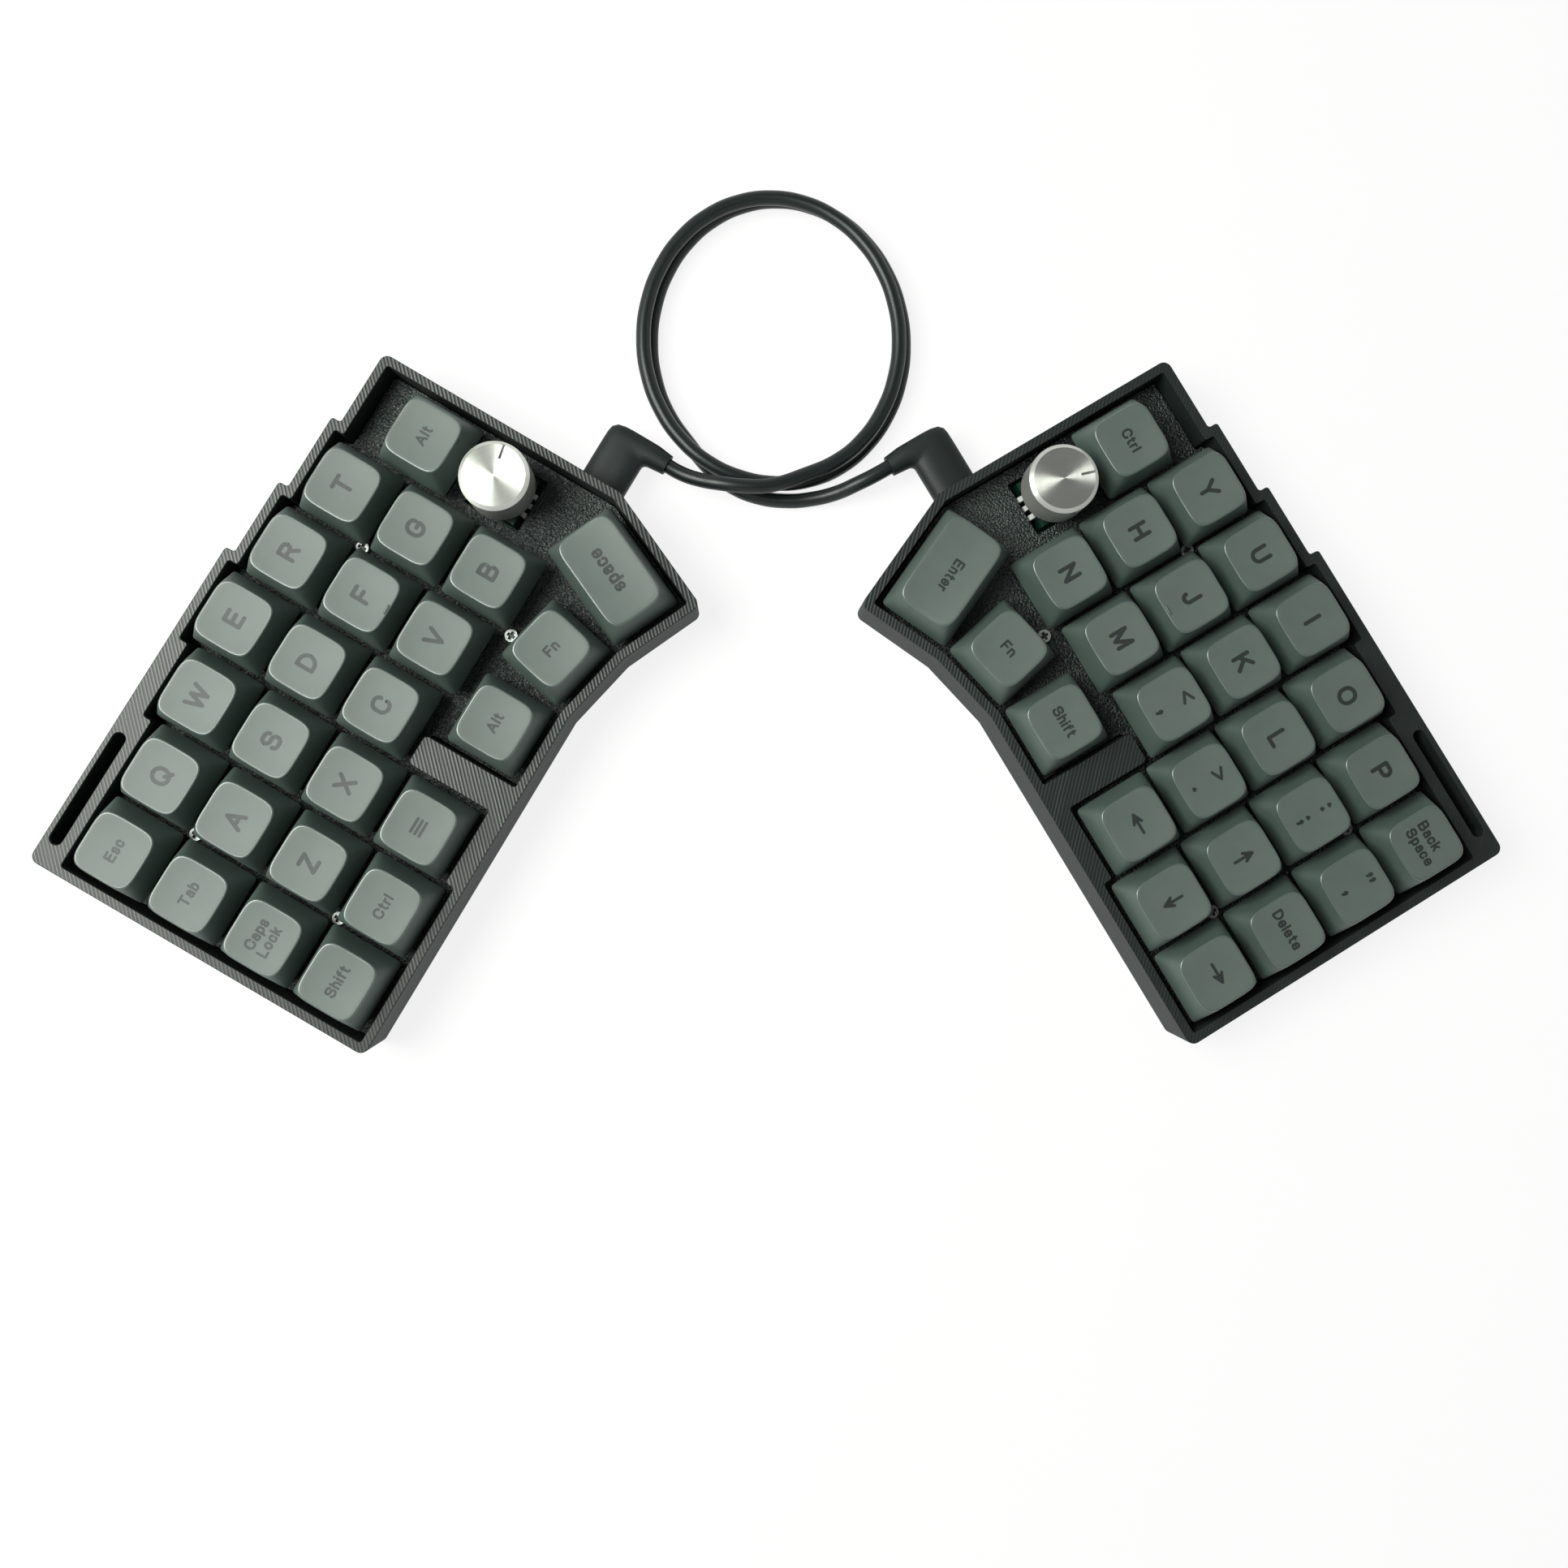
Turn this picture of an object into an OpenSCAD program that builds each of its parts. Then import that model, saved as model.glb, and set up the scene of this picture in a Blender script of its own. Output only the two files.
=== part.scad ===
// Split keyboard: two mirrored halves on a desk, each a printed tray that holds a circuit
// board, a switch plate, sprung keys and a rotary knob, joined by a looped link cable.
// Millimetres, +Z up. The left half is modelled in its own typing frame, with +X to the
// right hand and +Y away from the typist, then turned on the desk and mirrored.

/* [Placement] */
// Turn of each half on the desk, degrees
half_turn = 59.25; // [50:0.25:65]
// Distance from the centre line to the middle of a half
half_x = 93.95; // [92:0.05:120]

/* [Key layout] */
// Distance between neighbouring keys
pitch = 19.05; // [18.6:0.05:20]
// Shift between neighbouring columns
column_step = 2.38; // [1.6:0.02:3]
// Turn of each thumb key against the one before it, degrees
thumb_turn = 12; // [8:0.5:14]
// Length of the innermost thumb key, in keys
thumb_units = 1.5; // [1.25:0.25:1.5]

/* [Key caps] */
// Gap between neighbouring caps at their skirts
cap_gap = 0.95; // [0.6:0.05:1.4]
// Height of a cap
cap_h = 9.2; // [8:0.1:11]
// Lean of each cap side over the cap's height
cap_lean = 1.85; // [0.8:0.05:2.4]
// Wall of a cap
cap_wall = 1.3; // [0.9:0.05:1.8]
// Corner rounding at the skirt
cap_skirt_r = 1; // [0.4:0.1:2]
// Corner rounding at the top
cap_top_r = 3.3; // [2:0.1:5]
// Depth of the finger dish
dish_depth = 0.5; // [0.2:0.05:0.8]
// Height of a cap's skirt above the switch plate
skirt_lift = 6; // [5.6:0.1:7]
// Outer diameter of the socket under a cap
cap_post_d = 5.5; // [5:0.1:5.8]
// Width of the touch bar on the two home keys
home_bar_w = 2.4; // [2:0.1:6]

/* [Switches] */
// Key travel
travel = 4; // [3:0.1:4.2]
// Width of the switch body below the plate
body_w = 13.9; // [13.6:0.05:14]
// Width of the flange that sits on the plate
flange_w = 15.6; // [15:0.1:16]
// Thickness of the flange
flange_t = 1; // [0.8:0.1:1.4]
// Height of the switch body above the plate
body_top = 6.6; // [6.2:0.1:7]
// Thickness of the switch body's bottom
body_floor = 0.8; // [0.6:0.1:1]
// Slider width
slider_x = 7; // [6.4:0.1:7.4]
// Slider depth
slider_y = 5.8; // [5.6:0.1:6.2]
// Side play of the slider in its body
slider_play = 0.2; // [0.15:0.01:0.3]
// Clear height left under the slider at full travel
bottom_play = 0.3; // [0.2:0.05:0.6]
// Width of the cross on top of the slider
cross_w = 4; // [3.6:0.05:4.1]
// Thickness of the cross blades
cross_t = 1.25; // [1.1:0.05:1.35]
// Height of the cross
cross_h = 3.6; // [3:0.1:4]
// Play between the cross and the cap's socket
cross_play = 0.05; // [0.03:0.01:0.1]
// Lean of the upper body's sides, across and along
body_lean = [1.3, 1.9]; // [0.5:0.1:2.5]
// Diameter of the locating peg under the body
peg_d = 3.9; // [3.5:0.1:4]
// Reach of the locating peg past the board
peg_reach = 0.3; // [0.1:0.1:0.8]

/* [Plate and board] */
// Thickness of the switch plate
plate_t = 1.5; // [1.2:0.1:2]
// Gap between the plate and the tray wall
plate_gap = 0.4; // [0.2:0.05:0.8]
// Play between a switch body and its cut-out
cutout_play = 0.05; // [0.03:0.01:0.2]
// Depth of the board's top below the plate's top
board_drop = 5; // [4.6:0.1:5.4]
// Thickness of the circuit board
board_t = 1.6; // [1:0.1:2]
// Gap between the board and the tray wall
board_gap = 0.5; // [0.3:0.05:1]
// Play between pegs, posts and their holes in the board
hole_play = 0.15; // [0.1:0.01:0.3]
// Solder gap under the parts on the board
solder_gap = 0.05; // [0.02:0.01:0.1]
// Side of the controller chip
chip_w = 7; // [5:0.5:10]
// Thickness of the controller chip
chip_t = 0.9; // [0.6:0.1:1.2]

/* [Tray] */
// Room between the key cells and the tray wall
cavity_gap = 1; // [0.8:0.05:1.6]
// Thickness of the tray wall
wall = 2.2; // [1.8:0.1:3]
// Thickness of the tray floor
floor_t = 1.6; // [1.2:0.1:3]
// Room between the floor and the board
board_room = 2.2; // [1.6:0.1:4]
// Height of the rim above the switch plate
rim_rise = 8; // [4:0.1:9]
// Rounding of the outer upright corners
corner_r = 2; // [0.5:0.1:3]
// Rounding of the upright corners at the column steps
step_r = 0.75; // [0.2:0.05:0.75]
// Rounding of the inner upright corners
inner_r = 0.7; // [0.2:0.05:0.75]
// Corner radius at the free end of the web
web_r = 1.2; // [0.2:0.05:1.5]

/* [Rim slot] */
// Length of the slot
slot_l = 28.9; // [20:0.1:34]
// Width of the slot
slot_w = 3; // [2:0.1:3.4]
// Depth of the slot
slot_depth = 10; // [4:0.5:14]
// Distance from the outer corner to the near end of the slot
slot_end = 5.6; // [4:0.1:9]
// Distance from the far edge of the rim to the middle of the slot
slot_inset = 2.8; // [2.6:0.1:4]

/* [Plate screws] */
// Thread diameter
screw_d = 2; // [1.6:0.1:2.5]
// Length under the head
screw_l = 5; // [4:0.5:6]
// Head diameter
head_d = 3.2; // [2.8:0.1:3.4]
// Head height
head_h = 1.2; // [0.8:0.1:1.5]
// Width of the cross recess in the head
recess_w = 1.9; // [1.2:0.1:2.4]
// Width of each slot of the recess
recess_t = 0.6; // [0.3:0.05:0.8]
// Play round the thread
screw_play = 0.1; // [0.05:0.01:0.2]
// Diameter of a tray post above the board
post_d = 4; // [3.4:0.1:4.4]
// Diameter of a tray post below the board
post_foot_d = 6; // [5:0.1:7]

/* [Knobs] */
// Diameter
knob_d = 16; // [12:0.1:18]
// Height
knob_h = 12.5; // [9:0.1:16]
// Height of the knob's foot above the plate
knob_lift = 5.7; // [4:0.1:8]
// Edge chamfer
knob_chamfer = 0.9; // [0.2:0.05:1.2]
// Shaft diameter
shaft_d = 6; // [5:0.1:6.2]
// Play of the shaft in its bushing
shaft_play = 0.08; // [0.05:0.01:0.1]
// Bushing diameter
bushing_d = 7.4; // [7:0.1:8]
// Bushing height above the encoder body
bushing_h = 5; // [4:0.1:6]
// Side of the encoder body
encoder_w = 12; // [10:0.1:13]
// Height of the encoder body above the board
encoder_h = 6.6; // [5.5:0.1:7]
// Width of the encoder's two solder tabs
tab_w = 2; // [1.5:0.1:3]
// Thickness of the solder tabs
tab_t = 0.6; // [0.4:0.1:1]
// Width of the encoder's three legs
leg_w = 1.2; // [0.6:0.1:1.6]
// Thickness of the legs
leg_t = 1.2; // [0.3:0.1:1.3]
// Distance between the legs
leg_step = 2.5; // [2:0.1:3]
// Height of the legs above the board
leg_h = 5.5; // [1.5:0.1:6]
// Room for the legs in the plate, past the square cut-out
leg_room = 0.5; // [0.1:0.05:1]
// Diameter of the grub screw
grub_d = 2.5; // [2:0.1:3]
// Length of the pointer line
pointer_l = 3.2; // [2:0.1:5]
// Width of the pointer line
pointer_w = 0.6; // [0.3:0.05:1]
// Depth of the pointer line
pointer_depth = 0.3; // [0.1:0.05:0.6]
// Turn of the left knob's pointer, degrees
left_pointer = 12; // [0:1:360]
// Turn of the right knob's pointer, degrees
right_pointer = 108; // [0:1:360]
// Metal left above the shaft
knob_roof = 2; // [1.5:0.1:4]
// Play between the bushing and the recess in the knob's foot
recess_play = 0.6; // [0.3:0.05:1]

/* [Link] */
// Width of the socket on the board
jack_w = 8.9; // [8.6:0.05:9.4]
// Height of the socket
jack_h = 3.3; // [3.2:0.05:3.8]
// Length of the socket
jack_l = 7.3; // [6:0.1:9]
// Sheet thickness of the socket
jack_t = 0.25; // [0.2:0.05:0.4]
// Play between the plug's tongue and the socket
jack_play = 0.1; // [0.08:0.01:0.2]
// Distance of the socket from the middle of the half, towards the thumb keys
jack_y = 18.2; // [16:0.1:20]
// Play between the socket and the opening in the tray
opening_play = 0.3; // [0.2:0.05:0.6]
// Length of the plug's tongue
tongue_l = 6.5; // [5:0.1:7]
// Length of the tongue's root in the grip
tongue_root = 2; // [1:0.1:4]
// Play between the tongue's root and the grip
root_play = 0.05; // [0.02:0.01:0.1]
// Width of the plug's grip
plug_w = 11.4; // [10:0.1:12.5]
// Thickness of the plug's grip
plug_t = 6.4; // [5.5:0.1:7]
// Reach of the plug out of the tray
plug_l = 16.2; // [14:0.1:20]
// Rounding of the plug's elbow
elbow_r = 4; // [2:0.1:5]
// Diameter of the plug's tail at its end
tail_d = 5; // [4.4:0.1:6]
// Length of the tail past the grip
tail_l = 5.1; // [3:0.1:8]
// Diameter of the cable
cable_d = 3.6; // [3:0.1:4]
// Length of the cable inside a plug's tail
cable_seat = 2; // [1:0.1:4]

/* [Hidden] */
$fn = 48;
// Facets of a rounded upright corner
CORNER_STEPS = 6;
// Cut depth that clears a face
EPS = 0.5;

// Heights above the desk
BOARD_Z = floor_t + board_room;
BOARD_TOP = BOARD_Z + board_t;
PLATE_TOP = BOARD_TOP + board_drop;
PLATE_Z = PLATE_TOP - plate_t;
RIM_Z = PLATE_TOP + rim_rise;
JACK_Z = BOARD_TOP + solder_gap + jack_h / 2;
KNOB_Z = PLATE_TOP + knob_lift;

// Column shifts, in steps, for the keys and for the tray's far edge
KEY_STEPS = [0, 0, 1, 2, 1, 0];
EDGE_STEPS = [0, 0, 1, 2, 1, 0, -1];
ROWS = 4;
COLUMNS = 7;
TOP_STEP = max(EDGE_STEPS);

// Key names, from the outer column inwards; the last row has only the outer three
ROW_NAMES = [
    [["esc", "q", "w", "e", "r", "t"],
     ["tab", "a", "s", "d", "f", "g"],
     ["caps_lock", "z", "x", "c", "v", "b"],
     ["left_shift", "left_ctrl", "menu"]],
    [["backspace", "p", "o", "i", "u", "y"],
     ["quote", "semicolon", "l", "k", "j", "h"],
     ["delete", "arrow_up", "period", "comma", "m", "n"],
     ["arrow_right", "arrow_down", "arrow_left"]]];
INNER_NAMES = ["left_inner_alt", "right_inner_ctrl"];
THUMB_NAMES = [["left_thumb_alt", "left_fn", "space"], ["right_thumb_shift", "right_fn", "enter"]];
HOME_NAMES = ["f", "j"];

// Plane helpers
function turn(p, a) = [p.x * cos(a) - p.y * sin(a), p.x * sin(a) + p.y * cos(a)];
function column_x(i) = (i - COLUMNS / 2) * pitch;
function far_y(steps) = ROWS / 2 * pitch + steps * column_step;
function near_y(steps) = -ROWS / 2 * pitch + steps * column_step;

// Thumb cells fan out, each turned about the near corner that it shares with the last
FAN_1 = [pitch, near_y(0)];
FAN_2 = FAN_1 + turn([pitch, 0], -thumb_turn);
FAN_3 = FAN_2 + turn([pitch, 0], -2 * thumb_turn);

// Key places: name, side, middle, turn and length in keys
function grid_place(c, r) =
    [column_x(c + 0.5), (ROWS / 2 - 0.5 - r) * pitch + KEY_STEPS[c] * column_step];
function side_keys(s) = concat(
    [for (r = [0:ROWS - 1]) for (c = [0:len(ROW_NAMES[s][r]) - 1])
        [ROW_NAMES[s][r][c], s, grid_place(c, r), 0, 1]],
    [[INNER_NAMES[s], s, [column_x(6.5), pitch], 0, 1]],
    [[THUMB_NAMES[s][0], s, [pitch / 2, near_y(0) + pitch / 2], 0, 1]],
    [[THUMB_NAMES[s][1], s, FAN_1 + turn([pitch / 2, pitch / 2], -thumb_turn), -thumb_turn, 1]],
    [[THUMB_NAMES[s][2], s, FAN_2 + turn([pitch / 2, thumb_units * pitch / 2], -2 * thumb_turn),
        -2 * thumb_turn, thumb_units]]);
KEYS = concat(side_keys(0), side_keys(1));
KNOB_XY = [column_x(6.5), 0];
SCREWS = [[column_x(1), pitch], [column_x(1), -pitch],
    [column_x(5), pitch + column_step], [column_x(5), -pitch]];

// Near and inner edge of a half at a distance g outside the thumb cells, with corner radii
function fan_edge(g, r_tip, r_side) =
    let (tip = FAN_3 + turn([g, -g], -2 * thumb_turn),
         side_x = column_x(COLUMNS) + g,
         run = (side_x - tip.x) / sin(2 * thumb_turn),
         bend = g / cos(thumb_turn / 2))
    [concat([side_x, tip.y + run * cos(2 * thumb_turn)], r_side),
     concat(tip, r_tip),
     concat(FAN_2 + turn([0, -bend], -1.5 * thumb_turn), 0),
     concat(FAN_1 + turn([0, -bend], -0.5 * thumb_turn), 0)];

// Outer edge of the tray at a distance g outside the key cells
function outer_edge(g) = concat(
    [[column_x(0) - g, far_y(TOP_STEP) + g, corner_r]],
    [for (c = [4:6]) for (p = [[EDGE_STEPS[c - 1], step_r], [EDGE_STEPS[c], step_r]])
        [column_x(c) + g, far_y(p[0]) + g, p[1]]],
    [[column_x(COLUMNS) + g, far_y(EDGE_STEPS[6]) + g, corner_r]],
    fan_edge(g, corner_r, corner_r),
    [[column_x(0) - g, near_y(0) - g, corner_r]]);

// Edge of the hollow at a distance g outside the key cells; the web between the outer
// keys and the thumb keys stays solid
function hollow_edge(g) = concat(
    [[column_x(0) - g, far_y(0) + g, inner_r]],
    [for (c = [2:3]) for (s = [EDGE_STEPS[c - 1], EDGE_STEPS[c]])
        [column_x(c) - g, far_y(s) + g, inner_r]],
    [for (c = [4:6]) for (s = [EDGE_STEPS[c - 1], EDGE_STEPS[c]])
        [column_x(c) + g, far_y(s) + g, inner_r]],
    [[column_x(COLUMNS) + g, far_y(EDGE_STEPS[6]) + g, inner_r]],
    fan_edge(g, inner_r, inner_r),
    [[-g, near_y(0) - g, inner_r],
     [-g, near_y(KEY_STEPS[3]) + pitch - g, web_r],
     [column_x(3) + g, near_y(KEY_STEPS[3]) + pitch - g, web_r],
     [column_x(3) + g, near_y(1) - g, inner_r],
     [column_x(2) + g, near_y(1) - g, inner_r],
     [column_x(2) + g, near_y(0) - g, inner_r],
     [column_x(0) - g, near_y(0) - g, inner_r]]);

// Points of one rounded corner at p, between its neighbours a and b
function corner(a, p, b) =
    let (u = [a.x - p.x, a.y - p.y] / norm([a.x - p.x, a.y - p.y]),
         v = [b.x - p.x, b.y - p.y] / norm([b.x - p.x, b.y - p.y]),
         half = acos(max(-1, min(1, u * v))) / 2,
         middle = [p.x, p.y] + (u + v) / norm(u + v) * p.z / sin(half),
         from = [p.x, p.y] + u * p.z / tan(half) - middle,
         side = sign(u.x * v.y - u.y * v.x))
    [for (i = [0:CORNER_STEPS]) middle + turn(from, side * (2 * half - 180) * i / CORNER_STEPS)];
function rounded(pts) =
    [for (i = [0:len(pts) - 1])
        let (n = len(pts), p = pts[i])
        each p.z > 0 ? corner(pts[(i + n - 1) % n], p, pts[(i + 1) % n]) : [[p.x, p.y]]];

TRAY_EDGE = rounded(outer_edge(cavity_gap + wall));
EDGE_HEIGHTS = [for (p = TRAY_EDGE) turn(p, half_turn).y];
// Forward place of each half, so that the pair lies centred on the origin
HALF_Y = -(max(EDGE_HEIGHTS) + min(EDGE_HEIGHTS)) / 2;

// Places a left-hand shape on the desk; side 1 is its mirror image
module on_side(s) {
    mirror([s, 0, 0]) translate([-half_x, HALF_Y, 0]) rotate(half_turn) children();
}
module on_both_sides() {
    for (s = [0, 1]) on_side(s) children();
}
module at_keys(s) {
    for (k = side_keys(s)) translate(k[2]) rotate(k[3]) children();
}

// Block that tapers evenly from its foot to its top
module tapered_block(foot, top, h) {
    intersection() {
        rotate([90, 0, 0]) linear_extrude(max(foot) * 2, center = true)
            polygon([[-foot.x / 2, 0], [foot.x / 2, 0], [top.x / 2, h], [-top.x / 2, h]]);
        rotate([90, 0, 90]) linear_extrude(max(foot) * 2, center = true)
            polygon([[-foot.y / 2, 0], [foot.y / 2, 0], [top.y / 2, h], [-top.y / 2, h]]);
    }
}
module cross_block(w, t, h) {
    for (a = [0, 90]) rotate(a) translate([-w / 2, -t / 2, 0]) cube([w, t, h]);
}
// Flat bar with round ends, along X
module stadium(w, h) {
    square([w - h, h], center = true);
    for (s = [-1, 1]) translate([s * (w - h) / 2, 0]) circle(d = h);
}

// Key cap: four leaning sides with rounded corners, a finger dish and a socketed post
CAP_W = pitch - cap_gap;
CAP_TOP_W = CAP_W - 2 * cap_lean;
function diagonal(w, r) = w / sqrt(2) - r * (sqrt(2) - 1);
CAP_R0 = diagonal(CAP_W, cap_skirt_r);
CAP_R1 = diagonal(CAP_TOP_W, cap_top_r);
CAP_ROOF = cap_h - dish_depth - cap_wall;
module cap_body(extra) {
    intersection() {
        tapered_block([CAP_W, CAP_W + extra], [CAP_TOP_W, CAP_TOP_W + extra], cap_h);
        union() {
            for (y = extra > 0 ? [-extra / 2, extra / 2] : [0])
                translate([0, y, 0]) cylinder(cap_h, CAP_R0, CAP_R1);
            if (extra > 0) tapered_block([2 * CAP_R0, extra], [2 * CAP_R1, extra], cap_h);
        }
    }
}
module dish(extra) {
    reach = extra > 0 ? CAP_TOP_W / 2 : CAP_R1;
    r = (reach * reach + dish_depth * dish_depth) / (2 * dish_depth);
    translate([0, 0, cap_h - dish_depth + r])
        if (extra > 0) rotate([90, 0, 0]) cylinder(4 * pitch, r = r, center = true, $fn = 96);
        else sphere(r, $fn = 96);
}
module cap_hollow(extra) {
    lean = cap_lean * CAP_ROOF / cap_h;
    foot = CAP_W - 2 * cap_wall;
    translate([0, 0, -EPS]) cube([foot, foot + extra, 2 * EPS], center = true);
    tapered_block([foot, foot + extra], [foot - 2 * lean, foot + extra - 2 * lean], CAP_ROOF);
}
POST_FOOT = body_top + slider_play - skirt_lift;
module key_cap(units, home) {
    extra = (units - 1) * pitch;
    color("dimgray") difference() {
        union() {
            difference() {
                cap_body(extra);
                dish(extra);
                cap_hollow(extra);
            }
            translate([0, 0, POST_FOOT]) cylinder(CAP_ROOF + EPS - POST_FOOT, d = cap_post_d);
            if (home) translate([0, -0.45 * CAP_TOP_W, cap_h - dish_depth / 2])
                cube([home_bar_w, dish_depth, 1.6 * dish_depth], center = true);
        }
        translate([0, 0, POST_FOOT - EPS]) cross_block(cross_w + 2 * cross_play, cross_t + 2 * cross_play,
            body_top + cross_h + cross_play - skirt_lift - POST_FOOT + EPS);
    }
}

// Switch slider with the cross that carries the cap
SLIDER_Z = body_floor - board_drop + travel + bottom_play;
module switch_stem() {
    color("lightgray") {
        translate([-slider_x / 2, -slider_y / 2, SLIDER_Z])
            cube([slider_x, slider_y, body_top - SLIDER_Z]);
        translate([0, 0, body_top]) cross_block(cross_w, cross_t, cross_h);
    }
}
module key(k) {
    home = len([for (name = HOME_NAMES) if (name == k[0]) name]) > 0;
    on_side(k[1]) translate([k[2].x, k[2].y, PLATE_TOP]) rotate(k[3]) {
        translate([0, 0, skirt_lift]) key_cap(k[4], home);
        switch_stem();
    }
}

// Rotary knob with its shaft and grub screw
SHAFT_Z = BOARD_TOP + encoder_h / 2;
SHAFT_TOP = KNOB_Z + knob_h - knob_roof;
GRUB_Z = KNOB_Z + knob_h / 3;
GRUB_X = shaft_d / 2 + shaft_play;
BUSHING_TOP = BOARD_TOP + encoder_h + bushing_h;
POINTER = [left_pointer, right_pointer];
POINTER_X = knob_d / 2 - knob_chamfer - pointer_l;
module knob(s) {
    bore_r = shaft_d / 2 + shaft_play / 2;
    on_side(s) translate(KNOB_XY) {
        color("silver") difference() {
            union() {
                translate([0, 0, KNOB_Z]) cylinder(knob_chamfer, knob_d / 2 - knob_chamfer, knob_d / 2);
                translate([0, 0, KNOB_Z + knob_chamfer])
                    cylinder(knob_h - 2 * knob_chamfer, d = knob_d);
                translate([0, 0, KNOB_Z + knob_h - knob_chamfer])
                    cylinder(knob_chamfer, knob_d / 2, knob_d / 2 - knob_chamfer);
            }
            translate([0, 0, KNOB_Z - EPS]) cylinder(SHAFT_TOP + shaft_play - KNOB_Z + EPS, r = bore_r);
            translate([0, 0, KNOB_Z - EPS])
                cylinder(BUSHING_TOP + recess_play - KNOB_Z + EPS, d = bushing_d + 2 * recess_play);
            translate([0, 0, GRUB_Z]) rotate([0, 90, 0]) cylinder(knob_d, d = grub_d + shaft_play);
            rotate(POINTER[s]) translate([POINTER_X, -pointer_w / 2, KNOB_Z + knob_h - pointer_depth])
                cube([knob_d / 2 + EPS - POINTER_X, pointer_w, pointer_depth + EPS]);
        }
        color("gainsboro") translate([0, 0, SHAFT_Z]) cylinder(SHAFT_TOP - SHAFT_Z, d = shaft_d);
        color("gray") translate([GRUB_X, 0, GRUB_Z]) rotate([0, 90, 0])
            cylinder(knob_d / 2 - knob_chamfer - GRUB_X, d = grub_d);
    }
}

// Tray: floor, wall, posts for the board and plate, the rim slot and the link opening
OPENING_W = jack_w + 2 * opening_play;
OPENING_H = jack_h + 2 * opening_play;
WALL_X = column_x(COLUMNS) + cavity_gap + wall;
module tray() {
    color([0.13, 0.13, 0.14]) {
        difference() {
            linear_extrude(RIM_Z) polygon(TRAY_EDGE);
            translate([0, 0, floor_t]) linear_extrude(RIM_Z) polygon(rounded(hollow_edge(cavity_gap)));
            translate([column_x(0) - cavity_gap - wall + slot_end + slot_l / 2,
                    far_y(TOP_STEP) + cavity_gap + wall - slot_inset, RIM_Z - slot_depth])
                linear_extrude(slot_depth + EPS) stadium(slot_l, slot_w);
            translate([WALL_X - wall - EPS, -jack_y, JACK_Z]) rotate([90, 0, 90])
                linear_extrude(wall + 2 * EPS) stadium(OPENING_W, OPENING_H);
        }
        for (p = SCREWS) translate([p.x, p.y, floor_t]) difference() {
            union() {
                cylinder(board_room, d = post_foot_d);
                cylinder(PLATE_Z - floor_t, d = post_d);
            }
            translate([0, 0, PLATE_TOP - screw_l - EPS - floor_t])
                cylinder(screw_l + EPS, d = screw_d + 2 * screw_play);
        }
    }
}

// Switch plate with its cut-outs and screw holes
CUTOUT = body_w + 2 * cutout_play;
module plate() {
    color([0.08, 0.08, 0.09]) difference() {
        translate([0, 0, PLATE_Z]) linear_extrude(plate_t)
            polygon(rounded(hollow_edge(cavity_gap - plate_gap)));
        at_keys(0) translate([0, 0, PLATE_TOP]) cube([CUTOUT, CUTOUT, 4 * plate_t], center = true);
        translate([KNOB_XY.x, KNOB_XY.y - leg_room / 2, PLATE_TOP])
            cube([CUTOUT, CUTOUT + leg_room, 4 * plate_t], center = true);
        for (p = SCREWS) translate([p.x, p.y, PLATE_Z - EPS])
            cylinder(plate_t + 2 * EPS, d = screw_d + 2 * screw_play);
    }
}

// Circuit board with the encoder, the link socket and the controller chip soldered on
module board() {
    color("darkgreen") difference() {
        translate([0, 0, BOARD_Z]) linear_extrude(board_t)
            polygon(rounded(hollow_edge(cavity_gap - board_gap)));
        at_keys(0) translate([0, 0, BOARD_Z - EPS])
            cylinder(board_t + 2 * EPS, d = peg_d + 2 * hole_play);
        for (p = SCREWS) translate([p.x, p.y, BOARD_Z - EPS])
            cylinder(board_t + 2 * EPS, d = post_d + 2 * hole_play);
        translate([0, 0, BOARD_Z - EPS]) encoder_feet(hole_play, board_t + 2 * EPS, board_t + 2 * EPS);
    }
}
// Solder tabs and legs of the encoder, widened by play where they are cut out of the board
module encoder_feet(play, tab_h, foot_h) {
    for (s = [-1, 1]) translate([KNOB_XY.x + s * (encoder_w - tab_t) / 2, KNOB_XY.y, tab_h / 2])
        cube([tab_t + 2 * play, tab_w + 2 * play, tab_h], center = true);
    for (i = [-1:1]) translate([KNOB_XY.x + i * leg_step, KNOB_XY.y - encoder_w / 2, foot_h / 2])
        cube([leg_w + 2 * play, 2 * leg_t + 2 * play, foot_h], center = true);
}
module encoder_body() {
    color("silver") difference() {
        union() {
            translate([KNOB_XY.x - encoder_w / 2, KNOB_XY.y - encoder_w / 2, BOARD_TOP + solder_gap])
                cube([encoder_w, encoder_w, encoder_h - solder_gap]);
            translate([KNOB_XY.x, KNOB_XY.y, BOARD_TOP + solder_gap])
                cylinder(BUSHING_TOP - BOARD_TOP - solder_gap, d = bushing_d);
            translate([0, 0, BOARD_Z - peg_reach])
                encoder_feet(0, board_t + peg_reach + EPS, board_t + peg_reach + leg_h);
        }
        translate([KNOB_XY.x, KNOB_XY.y, SHAFT_Z - bottom_play])
            cylinder(BUSHING_TOP, d = shaft_d + 2 * shaft_play);
    }
}
TONGUE_W = jack_w - 2 * jack_t - 2 * jack_play;
TONGUE_H = jack_h - 2 * jack_t - 2 * jack_play;
JACK_X = WALL_X - wall - board_gap - jack_l;
module jack() {
    translate([JACK_X, -jack_y, JACK_Z]) rotate([90, 0, 90]) color("silver") {
        difference() {
            linear_extrude(jack_l) stadium(jack_w, jack_h);
            translate([0, 0, jack_t]) linear_extrude(jack_l)
                stadium(jack_w - 2 * jack_t, jack_h - 2 * jack_t);
        }
    }
}
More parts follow.
